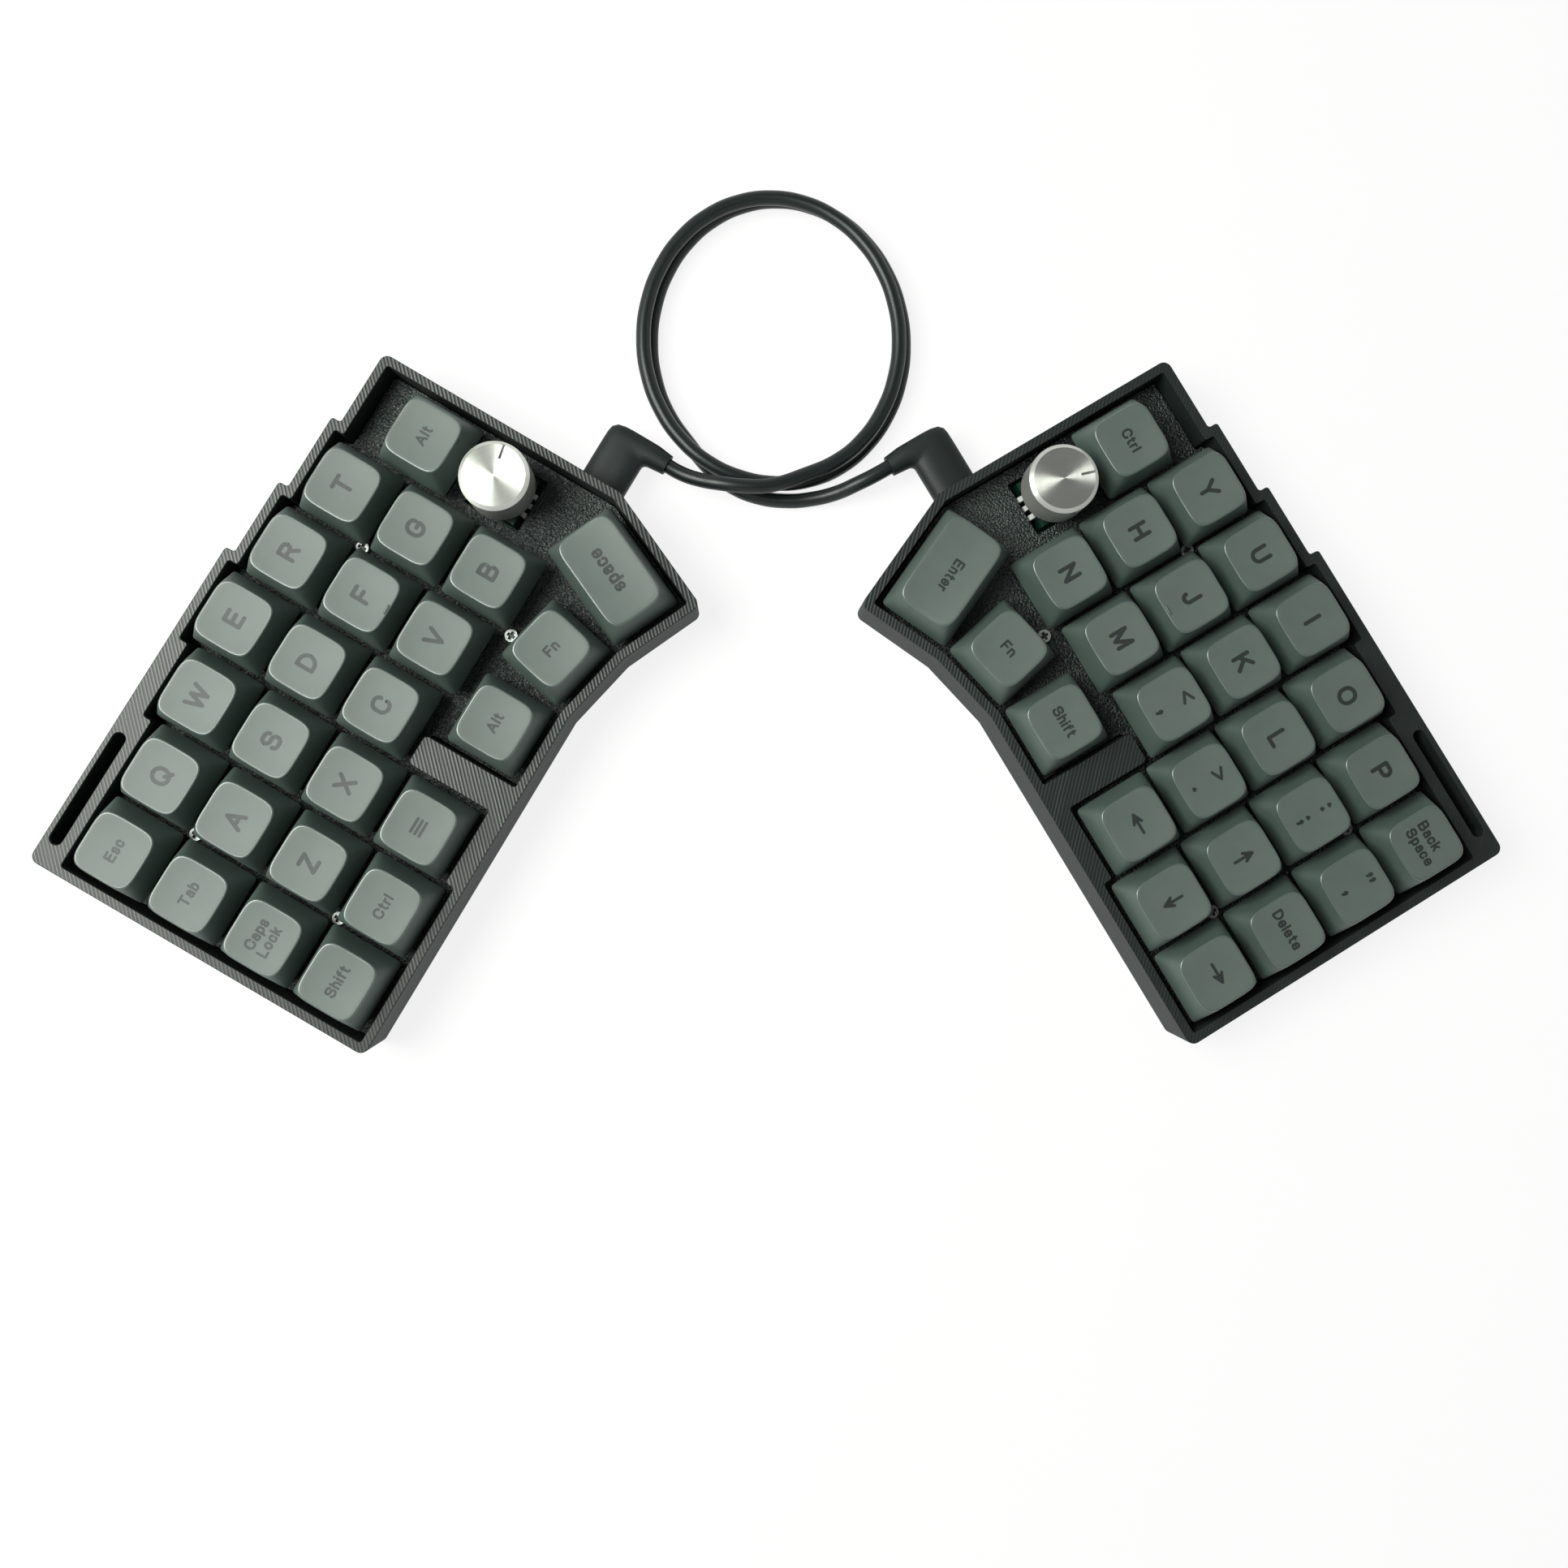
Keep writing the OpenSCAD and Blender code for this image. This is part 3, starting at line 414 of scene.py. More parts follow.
def relief(tree, shader, height, depth, strength=1.0, under=None):
    """Adds a bump of a given depth to a shader, over another bump if given"""
    inputs = {"Height": height, "Distance": depth, "Strength": strength}
    if under:
        inputs["Normal"] = under
    bump = add_node(tree, "ShaderNodeBump", inputs)
    tree.links.new(bump.outputs[0], shader.inputs["Normal"])
    return bump.outputs[0]


# Grained finishes: grain and relief in micrometres, roughness from and to, and spread of the tint
FINISHES = {
    "cap_grey": (180, 12, 0.56, 0.66, 0.05),
    "cap_edge": (300, 6, 0.30, 0.36, 0.05),
    "cap_top_painted_light": (180, 12, 0.46, 0.54, 0.05),
    "legend_print": (200, 10, 0.46, 0.54, 0.15),
    "slider_plastic": (300, 10, 0.35, 0.45, 0.10),
    "switch_black": (400, 20, 0.32, 0.46, 0.20),
    "plated_steel": (300, 60, 0.40, 0.55, 0.15),
    "screw_recess_painted_shade": (300, 30, 0.40, 0.60, 0.20),
    "satin_aluminium": (200, 10, 0.36, 0.44, 0.06),
    "groove_painted_shade": (200, 10, 0.30, 0.40, 0.10),
    "cable_jacket": (400, 10, 0.32, 0.40, 0.20),
    "plug_moulding": (300, 20, 0.46, 0.58, 0.20),
}
MICRON = 0.000001
# Size of the clouds in a finish, in grains
CLOUD = 40


def grained(name, rgb, **sockets):
    """Moulded plastic or metal: clouds in its colour, fine grain in its roughness and relief"""
    grain, depth, low, high, spread = FINISHES[name]
    made, tree, shader = new_material(name, **sockets)
    fine = noise(tree, object_coordinates(tree), grain * MICRON)
    clouds = noise(tree, object_coordinates(tree), grain * MICRON * CLOUD)
    tint = tinted(tree, clouds, *shades(rgb, 1 - spread, 1 + spread))
    feed(tree, shader, Base_Color=tint, Roughness=ranged(tree, fine, low, high))
    relief(tree, shader, fine, depth * MICRON)
    return made


# Turn and pitch of the printer's strokes, and the pitch of a wave texture of scale 1
STROKE_TURN = math.radians(45)
STROKE_PITCH = 0.0008
WAVE_PITCH = math.tau / 20
# Part of the strokes' and layers' pattern that their tint and roughness follow
PRINT_RANGE = (0.1, 0.8)


def printed_material(sizes, colours, level):
    """Layer-printed charcoal: diagonal strokes on level faces, layer lines on the walls"""
    name, gloss = ("printed_strokes", 0.46) if level else ("printed_layers", 0.35)
    made, tree, shader = new_material(name, Specular_IOR_Level=gloss)
    place = half_coordinates(tree, sizes)
    if level:
        turned = add_node(
            tree, "ShaderNodeMapping", {"Vector": place, "Rotation": (0.0, 0.0, STROKE_TURN)}
        ).outputs[0]
        inputs = {"Vector": turned, "Scale": WAVE_PITCH / STROKE_PITCH}
        inputs |= {"Distortion": 1.0, "Detail": 1.0, "Detail Scale": 0.2}
        bands = add_node(
            tree, "ShaderNodeTexWave", inputs, wave_type="BANDS", bands_direction="X"
        ).outputs["Fac"]
        drawn = noise(tree, turned, grain=0.002, detail=2.0, roughness=0.6, stretch=(1.0, 0.08, 1.0))
        lines = worked(tree, "MULTIPLY", bands, ranged(tree, drawn, low=0.5, high=1.0))
        rough = (0.48, 0.33)
    else:
        lines = noise(tree, place, grain=0.0004, detail=2.0, roughness=0.6, stretch=(0.04, 0.04, 1.0))
        rough = (0.76, 0.62)
    tint = tinted(tree, lines, *shades(colours.tray, 0.6, 1.6), *PRINT_RANGE)
    feed(tree, shader, Base_Color=tint, Roughness=ranged(tree, lines, *rough, *PRINT_RANGE))
    relief(tree, shader, lines, depth=0.00005)
    return made


def pebbled_material(colours):
    """Black pebbled sheet: small soft lumps that catch the light"""
    made, tree, shader = new_material("pebbled_black", Specular_IOR_Level=0.68)
    place = object_coordinates(tree)
    lumps = noise(tree, place, grain=0.00055, detail=1.0, roughness=0.5)
    fine = noise(tree, place, grain=0.0002, detail=2.0, roughness=0.5)
    tint = tinted(tree, lumps, *shades(colours.plate, dark=0.6, light=1.8))
    feed(tree, shader, Base_Color=tint, Roughness=ranged(tree, fine, low=0.38, high=0.5))
    under = relief(tree, shader, lumps, depth=0.0006)
    relief(tree, shader, fine, depth=0.00002, strength=0.6, under=under)
    return made


def turned_material(sizes, colours):
    """Turned aluminium: rings round the knob's axis that stretch the highlights"""
    made, tree, shader = new_material(
        "turned_aluminium", Metallic=1.0, Anisotropic=0.92, Anisotropic_Rotation=0.25
    )
    place = half_coordinates(tree, sizes)
    knob = add_node(
        tree, "ShaderNodeMapping", {"Vector": place, "Location": (-sizes.knob_x, 0.0, 0.0)}
    ).outputs[0]
    parts = add_node(tree, "ShaderNodeSeparateXYZ", {0: knob})
    flat = add_node(
        tree, "ShaderNodeCombineXYZ", {"X": parts.outputs["X"], "Y": parts.outputs["Y"], "Z": 0.0}
    )
    radius = add_node(
        tree, "ShaderNodeVectorMath", {0: flat.outputs[0]}, operation="LENGTH"
    ).outputs["Value"]
    along = add_node(tree, "ShaderNodeCombineXYZ", {"X": radius, "Y": parts.outputs["Z"], "Z": 0.0})
    rings = noise(tree, along.outputs[0], grain=0.00022, detail=2.0, roughness=0.6)
    scuffs = noise(tree, place, grain=0.0022, detail=4.0, roughness=0.65)
    tint = tinted(tree, rings, *shades(colours.metal, dark=0.88, light=1.08))
    feed(tree, shader, Base_Color=tint, Roughness=ranged(tree, scuffs, low=0.30, high=0.34))
    relief(tree, shader, rings, depth=0.000012)
    spun = add_node(tree, "ShaderNodeTangent", direction_type="RADIAL", axis="Z")
    feed(tree, shader, Tangent=spun.outputs[0])
    return made


# Heights just over the chip, the board and the encoder's body
OVER_CHIP = 3.78 * MM
OVER_BOARD = 5.42 * MM
OVER_ENCODER = 12.1 * MM
# Just past the encoder's sides and past its legs, and where its bare ends start across and along
ENCODER_SIDE = 6.03 * MM
LEG_END = 7.4 * MM
BARE_ACROSS = 4.4 * MM
BARE_ALONG = -4.8 * MM
# How metallic the plated parts look
PLATED_METAL = 0.35


def board_material(sizes, colours):
    """Green board, black chip, plated encoder and socket, told apart by height and place, with painted
    shade in darker board green on the encoder's bare ends
    """
    made, tree, shader = new_material("board_and_parts", Specular_IOR_Level=0.5)
    place = half_coordinates(tree, sizes)
    parts = add_node(tree, "ShaderNodeSeparateXYZ", {0: place})
    grain = noise(tree, place, grain=0.0006)
    green = tinted(tree, grain, *shades(colours.board, 0.7, 1.4))
    plated = tinted(tree, grain, *shades(colours.steel, 1.2, 1.6))
    black = tinted(tree, grain, *shades(colours.switch, 0.7, 1.5))
    # Painted shade: the board's own green, darkened to a fifth to a half, for the encoder's bare ends
    shaded_green = tinted(tree, grain, *shades(colours.board, 0.2, 0.5))

    def over(value, limit):
        return worked(tree, "GREATER_THAN", value, limit)

    def under(value, limit):
        return worked(tree, "LESS_THAN", value, limit)

    def both(first, second):
        return worked(tree, "MULTIPLY", first, second)

    def mixed(share, first, second):
        inputs = {0: share, 6: first, 7: second}
        return add_node(tree, "ShaderNodeMix", inputs, data_type="RGBA").outputs[2]

    height = parts.outputs["Z"]
    along = parts.outputs["Y"]
    across = worked(tree, "ABSOLUTE", worked(tree, "SUBTRACT", parts.outputs["X"], sizes.knob_x))
    aside = worked(tree, "MAXIMUM", across, worked(tree, "ABSOLUTE", along))
    over_board = over(height, OVER_BOARD)
    over_chip = over(height, OVER_CHIP)
    legs = both(over(aside, ENCODER_SIDE), under(aside, LEG_END))
    metal = worked(tree, "MAXIMUM", both(legs, over_board), over(height, OVER_ENCODER))
    ends = both(over(across, BARE_ACROSS), under(aside, ENCODER_SIDE))
    ends = both(ends, under(along, BARE_ALONG))
    bare = mixed(over_board, mixed(over_chip, black, green), mixed(ends, black, shaded_green))
    feed(tree, shader, Base_Color=mixed(metal, bare, plated), Metallic=both(metal, PLATED_METAL))
    feed(tree, shader, Roughness=ranged(tree, grain, low=0.28, high=0.45))
    relief(tree, shader, grain, depth=0.00003)
    return made


# Shapes


def of_kind(kind, made):
    """Those of an operator's results that are of one kind"""
    return [part for part in made if isinstance(part, kind)]


def segment_layer(bm):
    """Numbers that tell where on its ring a vertex stands"""
    return bm.verts.layers.int["segment"]


def segment_turn(index):
    """Turn of a ring's numbered vertex"""
    return (index + 0.5) * math.tau / ROUND_STEPS


def start_ring(bm, place):
    """A closed ring of vertices, each put at place(its turn)"""
    bmesh.ops.create_circle(bm, segments=ROUND_STEPS, radius=1.0)
    layer = bm.verts.layers.int.new("segment")
    bm.verts.ensure_lookup_table()
    for index, vert in enumerate(bm.verts):
        vert[layer] = index
        vert.co = place(segment_turn(index))
    return list(bm.edges)


def next_ring(bm, ring, place, finish=0):
    """Extrudes a ring of edges in one finish and puts each new vertex at place(its turn)"""
    layer = segment_layer(bm)
    made = bmesh.ops.extrude_edge_only(bm, edges=ring)["geom"]
    fresh = set(of_kind(bmesh.types.BMVert, made))
    for vert in fresh:
        vert.co = place(segment_turn(vert[layer]))
    for face in of_kind(bmesh.types.BMFace, made):
        face.material_index = finish
    return [edge for edge in of_kind(bmesh.types.BMEdge, made) if fresh.issuperset(edge.verts)]


def ring_verts(ring):
    """Vertices of a ring of edges"""
    return list({vert for edge in ring for vert in edge.verts})


def dish_height(sizes, extra, x, y):
    """Height of a cap's dished top over its skirt"""
    reach = (sizes.cap_width / 2 - sizes.cap_lean) if extra else sizes.cap_top_round
    far = abs(x) if extra else math.hypot(x, y)
    radius = (reach**2 + sizes.dish_depth**2) / (2 * sizes.dish_depth)
    return sizes.cap_height - sizes.dish_depth + radius - math.sqrt(radius**2 - far**2)


def bulge(half, reach):
    """How far a square's sides bow out so that its corners reach this far: 0 not at all, 0.5 a circle"""
    return math.log2(half * math.sqrt(2) / reach)


# How far a ring's points crowd into the corners of a square
CORNER_CROWD = 0.15


def square_point(turn, half, bow, extra, scale=1.0):
    """Point of a square with bowed sides and rounded corners, lengthened along its own Y"""
    turn += CORNER_CROWD * math.sin(4 * turn)
    x, y = math.cos(turn), math.sin(turn)
    far = half / (abs(x) ** (1 / bow) + abs(y) ** (1 / bow)) ** bow
    return far * x * scale, (far * y + math.copysign(extra / 2, y)) * scale


def join_part(bm, part, finish):
    """Adds a part to a bmesh, all in one of the piece's materials"""
    for face in part.faces:
        face.material_index = finish
    mesh = bpy.data.meshes.new("part")
    part.to_mesh(mesh)
    part.free()
    bm.from_mesh(mesh)
    bpy.data.meshes.remove(mesh)


def rounded_block(bm, size, middle, edge, segments):
    """A block with rounded edges"""
    place = Matrix.Translation(middle) @ Matrix.Diagonal((*size, 1))
    made = bmesh.ops.create_cube(bm, size=1.0, matrix=place)
    edges = list({line for vert in made["verts"] for line in vert.link_edges})
    bmesh.ops.bevel(
        bm, geom=edges, offset=edge, segments=segments, profile=0.5, affect="EDGES", clamp_overlap=True
    )


# Finishes of a cap, in the order of its materials
CAP_SIDE, CAP_PRINT, CAP_SLIDER, CAP_EDGE, CAP_LIT_DISH = range(5)
# Rings up a cap's side and over its edge in degrees, and rings of the dish as shares of its width
SIDE_SHARES = (0.04, 0.25, 0.5, 0.75)
EDGE_TURNS = (0.0, 22.5, 45.0, 67.5, 90.0)
DISH_SCALES = (0.9, 0.72, 0.5, 0.28, 0.1)
# Post under a cap's roof: radius, and height of its foot over the skirt
POST_R = 2.75 * MM
POST_FOOT = 0.8 * MM
# Slider: its block and the block's middle over the plate, and one bar of the cross on it
SLIDER_SIZE = (7.0 * MM, 5.8 * MM, 6.5 * MM)
SLIDER_Z = 3.35 * MM
SLIDER_EDGE = 0.3 * MM
CROSS_LONG = 4.0 * MM
CROSS_WIDE = 1.25 * MM
CROSS_TALL = 0.4 * MM
CROSS_Z = 6.7 * MM
CROSS_EDGE = 0.1 * MM
# Touch bar of a home key, and its place as a share of the top's width
BAR_SIZE = (2.4 * MM, 0.6 * MM, 0.6 * MM)
BAR_EDGE = 0.2 * MM
BAR_PLACE = -0.45


def cap_shape(sizes, extra, home):
    """A hollow cap with a dished top, a post and the slider that carries it, over the plate's top"""
    bm = bmesh.new()
    lift, tall, lean = sizes.skirt_lift, sizes.cap_height, sizes.cap_lean
    edge, wall = sizes.cap_edge, sizes.cap_wall
    roof = tall - sizes.dish_depth - wall
    half = sizes.cap_width / 2
    foot_bow = bulge(half, sizes.cap_foot_round)
    top_bow = bulge(half - lean, sizes.cap_top_round)

    def side(rise):
        def place(turn):
            share = rise / tall
            bow = foot_bow + (top_bow - foot_bow) * share
            x, y = square_point(turn, half - lean * share, bow, extra)
            return x, y, lift + rise

        return place

    def top(inset, drop, scale=1.0):
        def place(turn):
            x, y = square_point(turn, half - lean - inset, top_bow, extra, scale)
            return x, y, lift + dish_height(sizes, extra, x, y) - drop

        return place

    def inner(rise):
        def place(turn):
            x, y = square_point(turn, half - wall - lean * rise / tall, foot_bow, extra)
            return x, y, lift + rise

        return place

    def post(rise):
        return lambda turn: (POST_R * math.cos(turn), POST_R * math.sin(turn), lift + rise)

    foot = start_ring(bm, side(0.0))
    ring = foot
    for share in SIDE_SHARES:
        ring = next_ring(bm, ring, side(share * tall), CAP_SIDE)
    for turn in EDGE_TURNS:
        bend = math.radians(turn)
        place = top(edge * (1 - math.cos(bend)), edge * (1 - math.sin(bend)))
        ring = next_ring(bm, ring, place, CAP_EDGE if turn else CAP_SIDE)
    # The dish rings take the paler top grey, which is painted light
    for scale in DISH_SCALES:
        ring = next_ring(bm, ring, top(edge, 0.0, scale), CAP_LIT_DISH)
    bmesh.ops.pointmerge(
        bm, verts=ring_verts(ring), merge_co=(0.0, 0.0, lift + dish_height(sizes, extra, 0.0, 0.0))
    )
    ring = foot
    for place in (inner(0.0), inner(roof), post(roof), post(POST_FOOT)):
        ring = next_ring(bm, ring, place, CAP_SIDE)
    bmesh.ops.edgeloop_fill(bm, edges=ring)
    bmesh.ops.recalc_face_normals(bm, faces=bm.faces)
    bm.verts.layers.int.remove(segment_layer(bm))
    slider = bmesh.new()
    rounded_block(slider, SLIDER_SIZE, (0, 0, SLIDER_Z), SLIDER_EDGE, segments=2)
    for size in ((CROSS_LONG, CROSS_WIDE, CROSS_TALL), (CROSS_WIDE, CROSS_LONG, CROSS_TALL)):
        rounded_block(slider, size, (0, 0, CROSS_Z), CROSS_EDGE, segments=1)
    join_part(bm, slider, CAP_SLIDER)
    if home:
        bar = bmesh.new()
        y = BAR_PLACE * (sizes.cap_width - 2 * lean)
        high = lift + dish_height(sizes, extra, 0.0, y)
        rounded_block(bar, BAR_SIZE, (0, y, high), BAR_EDGE, segments=3)
        join_part(bm, bar, CAP_SIDE)
    return bm


def pen_runs(stroke):
    """Smooth runs of one stroke of the pen, cut where it turns sharply"""
    marks = stroke.split()
    points = [Vector([float(part) for part in mark.rstrip("o").split(",")]) for mark in marks]
    swings = [mark.endswith("o") for mark in marks]

    def room(first, second):
        share = 0.5 if swings[first] and swings[second] else 1.0
        return (points[second] - points[first]).length * share

    runs = [[points[0]]]
    for index in range(1, len(points)):
        here = points[index]
        if swings[index]:
            reach = min(room(index - 1, index), room(index, index + 1))
            back = (points[index - 1] - here).normalized() * reach
            ahead = (points[index + 1] - here).normalized() * reach
            pulls = here + back * SWING_PULL, here + ahead * SWING_PULL
            runs[-1] += interpolate_bezier(here + back, *pulls, here + ahead, SWING_STEPS)
        else:
            runs[-1].append(here)
            runs.append([here])
    return [run for run in runs if len(run) > 1]


def line_runs(line):
    """Runs of the pen for a line of signs from its left end, and the line's length"""
    runs, left = [], 0.0
    for sign in line:
        made = [run for stroke in PEN_STROKES[sign].split("/") for run in pen_runs(stroke)]
        across = [point.x for run in made for point in run]
        step = Vector((left - min(across), 0.0))
        runs += [[point.to_2d() + step for point in run] for run in made]
        left += max(across) - min(across) + LETTER_GAP
    return runs, left - LETTER_GAP


def legend_runs(sizes, legend):
    """Runs of the pen for a legend round the middle of a cap, and the pen's width"""
    words = any(len(line) > 1 for line in legend)
    if words:
        high = sizes.small_word_height if legend[0].islower() else sizes.word_height
        pitch = sizes.line_pitch
    elif len(legend) > 1 or len(legend[0][0]) > 1:
        high, pitch = sizes.sign_height, sizes.sign_pitch
    else:
        high, pitch = sizes.letter_height, 0.0
    grid = high / (CAPITAL + PEN_WIDTH)
    lines = [line_runs(line) for line in legend]
    longest = max(long for runs, long in lines)
    placed = []
    for row, (runs, long) in enumerate(lines):
        left = -(longest if words else long) / 2
        foot = ((len(lines) - 1) / 2 - row) * pitch / grid - CAPITAL / 2
        placed += [[(point + Vector((left, foot))) * grid for point in run] for run in runs]
    return placed, PEN_WIDTH * grid


def draw_run(part, run, pen, level):
    """One round-ended stroke: an edge drawn along the run, with a disc a hair lower at each end"""
    path = [run[0]]
    for point in run[1:]:
        steps = math.ceil((point - path[-1]).length / MM)
        path += [path[-1].lerp(point, step / steps) for step in range(1, steps + 1)]

    def across(index):
        along = path[min(index + 1, len(path) - 1)] - path[max(index - 1, 0)]
        return along.orthogonal().normalized() * pen / 2

    def lifted(point, height):
        return Vector((*point, height))

    ends = [part.verts.new(lifted(path[0] + across(0) * way, level)) for way in (1, -1)]
    edge = part.edges.new(ends)
    for index in range(1, len(path)):
        made = bmesh.ops.extrude_edge_only(part, edges=[edge])["geom"]
        fresh = set(of_kind(bmesh.types.BMVert, made))
        edge = next(e for e in of_kind(bmesh.types.BMEdge, made) if fresh.issuperset(e.verts))
        for vert in fresh:
            way = 1 if (vert.co.xy - path[index - 1]).dot(across(index - 1)) > 0 else -1
            vert.co = lifted(path[index] + across(index) * way, level)
    for end in (path[0], path[-1]):
        place = Matrix.Translation(lifted(end, level - HAIR))
        bmesh.ops.create_circle(
            part, cap_ends=True, segments=PEN_STEPS, radius=pen / 2, matrix=place
        )


def add_legend(bm, sizes, extra, legend, turn, shift):
    """Prints a legend on a cap's dish, as the cap's second material"""
    part = bmesh.new()
    runs, pen = legend_runs(sizes, legend)
    for index, run in enumerate(runs):
        draw_run(part, run, pen, 2 * HAIR * (index % 4))
    raised = bmesh.ops.extrude_face_region(part, geom=part.faces[:])["geom"]
    tops = of_kind(bmesh.types.BMVert, raised)
    bmesh.ops.translate(part, vec=(0, 0, PRINT_SPAN), verts=tops)
    bmesh.ops.recalc_face_normals(part, faces=part.faces)
    aside = Matrix.Translation(Vector((*shift, 0.0)) * MM)
    part.transform(aside @ Matrix.Rotation(math.radians(turn), 4, "Z"))
    for vert in part.verts:
        lift = vert.co.z - PRINT_SPAN + PRINT_RISE if vert.co.z > PRINT_SPAN / 2 else -PRINT_SINK
        vert.co.z = sizes.skirt_lift + dish_height(sizes, extra, vert.co.x, vert.co.y) + lift
    join_part(bm, part, CAP_PRINT)


def make_cap(sizes, name, legend, side, materials):
    """One key cap in its place, with its legend"""
    node = "key_" + name
    low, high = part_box(node)
    middle = (low + high) / 2
    extra = sizes.long_extra if name in LONG_KEYS else 0.0
    bm = cap_shape(sizes, extra, name in HOME_KEYS)
    shift = LEGEND_SHIFTS.get(name, (0.0, 0.0))
    add_legend(bm, sizes, extra, legend, LEGEND_TURNS.get(name, 0), shift)
    turn = sizes.half_turn - THUMB_STEPS.get(name, 0) * sizes.thumb_turn
    place = Matrix.Translation((middle.x, middle.y, sizes.plate_top))
    bm.transform(place @ Matrix.Rotation(-turn if side else turn, 4, "Z"))
    mesh = finished_mesh(bm, "cap_" + name, sharp=40.0)
    show(mesh, "cap_" + name, name, [node], materials)


# A link plug in the typing frame of its half, in millimetres: height of its middle, and its grip
PLUG_Z = 7.1
GRIP_X = (69.875, 72.0, 75.5)
GRIP_Y = (-23.9, -12.5)
GRIP_HALF = 3.2
# The elbow: its inner corner and the rounding there, its reach, and its sections as shares of the bend
HEEL = (78.845, -25.1)
HEEL_ROUND = 1.2
ELBOW_REACH = (7.0, 12.6)
ELBOW_SHARES = (0.0, 0.1, 0.19, 0.26, 0.33, 0.4, 0.48, 0.6, 0.75, 1.0)
ELBOW_THINNING = 0.3
# The tail, which the cable leaves by
TAIL_X = (80.375, 85.375)
TAIL_Y = -29.0
TAIL_HALF = 2.5
# Fullness of the sections: 2 is round, and more is squarer
GRIP_FULLNESS = 2.8
ELBOW_ROUNDING = 0.6
ELBOW_FULLNESS = 7
TAIL_FULLNESS = 2.0


def plug_shape(bm, sizes, side):
    """A moulded right-angle plug: flat grip, rounded elbow and round tail"""
    part = bmesh.new()
    middle = PLUG_Z * MM
    heel = Vector(HEEL) * MM
    reach = Vector(ELBOW_REACH) * MM

    def section(inner, outer, half_height, fullness):
        """Upright ring between two points of the plan, rounder as its fullness nears 2"""
        centre, half = (inner + outer) / 2, (outer - inner) / 2

        def place(turn):
            x, y = math.cos(turn), math.sin(turn)
            far = (abs(x) ** fullness + abs(y) ** fullness) ** (-1 / fullness)
            return *(centre + half * far * x), middle + half_height * far * y

        return place

    sections = []
    for x in GRIP_X:
        inner, outer = [Vector((x, y)) * MM for y in GRIP_Y]
        sections.append(section(inner, outer, GRIP_HALF * MM, GRIP_FULLNESS))
    for share in ELBOW_SHARES:
        way = Vector((math.sin(share * math.pi / 2), math.cos(share * math.pi / 2)))
        full = (way.x / reach.x) ** ELBOW_FULLNESS + (way.y / reach.y) ** ELBOW_FULLNESS
        far = full ** (-1 / ELBOW_FULLNESS)
        inner, outer = heel + way * HEEL_ROUND * MM, heel + way * far
        half_height = (GRIP_HALF - ELBOW_THINNING * share) * MM
        sections.append(section(inner, outer, half_height, GRIP_FULLNESS - ELBOW_ROUNDING * share))
    inner, outer = [Vector((x, TAIL_Y)) * MM for x in TAIL_X]
    sections.append(section(inner, outer, TAIL_HALF * MM, TAIL_FULLNESS))
    ring = start_ring(part, sections[0])
    ends = [ring]
    for place in sections[1:]:
        ring = next_ring(part, ring, place)
    ends.append(ring)
    for edges in ends:
        bmesh.ops.edgeloop_fill(part, edges=edges)
    part.verts.layers.int.remove(segment_layer(part))
    bmesh.ops.recalc_face_normals(part, faces=part.faces)
    bmesh.ops.transform(part, matrix=half_matrix(sizes, side), verts=part.verts)
    if side:
        bmesh.ops.reverse_faces(part, faces=part.faces)
    join_part(bm, part, 0)


# Route of the link cable, in millimetres: out of the left plug, twice round, into the right plug
LEFT_LEAD = [(-28.38, 58.02, 7.1), (-23.57, 55.16, 7.1), (-19, 53.4, 8), (-14, 52.2, 9.6)]
LEFT_LEAD += [(-8, 51.5, 10), (-2, 51.8, 9.6)]
RIGHT_LEAD = [(-16, 56.7, 1.9), (-11, 52.9, 1.9), (-5, 50.5, 1.9), (2, 49.6, 1.9), (8, 50, 2.3)]
RIGHT_LEAD += [(14, 51.2, 3.8), (19, 53, 6.2), (23.57, 55.16, 7.1), (28.38, 58.02, 7.1)]
# Middle and half widths of the two rounds, how far each lies aside, and the lower one's longer far side
RING_MIDDLE = (-0.8, 88.5)
RING_R = (31, 35)
RING_LIE = 0.8
RING_REACH = 0.9
# Height of the lower round, of the upper one over it and of the upper one's start over that
RING_Z = 1.9
UPPER_LIFT = 4.1
START_LIFT = 2.6
# First and last turn of the rounds and their step, in degrees, and where each way down starts and spans
RING_START, RING_END, RING_STEP = 285, 945, 15
START_SPAN = 40
DROP_START, DROP_SPAN = 600, 60


def eased(x):
    """A smooth step from 0 to 1"""
    t = max(0.0, min(1.0, x))
    return t * t * (3 - 2 * t)


def ring_point(turn):
    """Point of the cable's two rounds, the first lying on the second"""
    low = eased((turn - DROP_START) / DROP_SPAN)
    start = 1 - eased((turn - RING_START) / START_SPAN)
    bend = math.radians(turn)
    x = RING_MIDDLE[0] + (2 * low - 1) * RING_LIE + RING_R[0] * math.cos(bend)
    y = RING_MIDDLE[1] + RING_R[1] * math.sin(bend) + RING_REACH * low * max(0.0, math.sin(bend))
    return x, y, RING_Z + UPPER_LIFT * (1 - low) + START_LIFT * start


def cable_route():
    """The cable's points from the left plug to the right one, in metres"""
    turns = [ring_point(turn) for turn in range(RING_START, RING_END + 1, RING_STEP)]
    return [Vector(point) * MM for point in LEFT_LEAD + turns + RIGHT_LEAD]


# Stage and operators

# Width of the camera's sensor in millimetres, and its nearest sight in metres
SENSOR = 36.0
NEAREST = 0.01
# Half the floor's width, its place under the part and the share of its white that needs no light
FLOOR_HALF = 3.0
FLOOR_DROP = 0.0001
FLOOR_GLOW = 0.85
# Heights of view between which the backdrop turns into the ceiling
CEILING_FADE = (0.35, 0.85)
# Upward share of a face's normal: from LEVEL on, a tray's face is level, under WALL a screw's or knob's
# face is a wall, and over TOP a knob's face is flat
LEVEL = 0.7
WALL = 0.5
TOP = 0.9
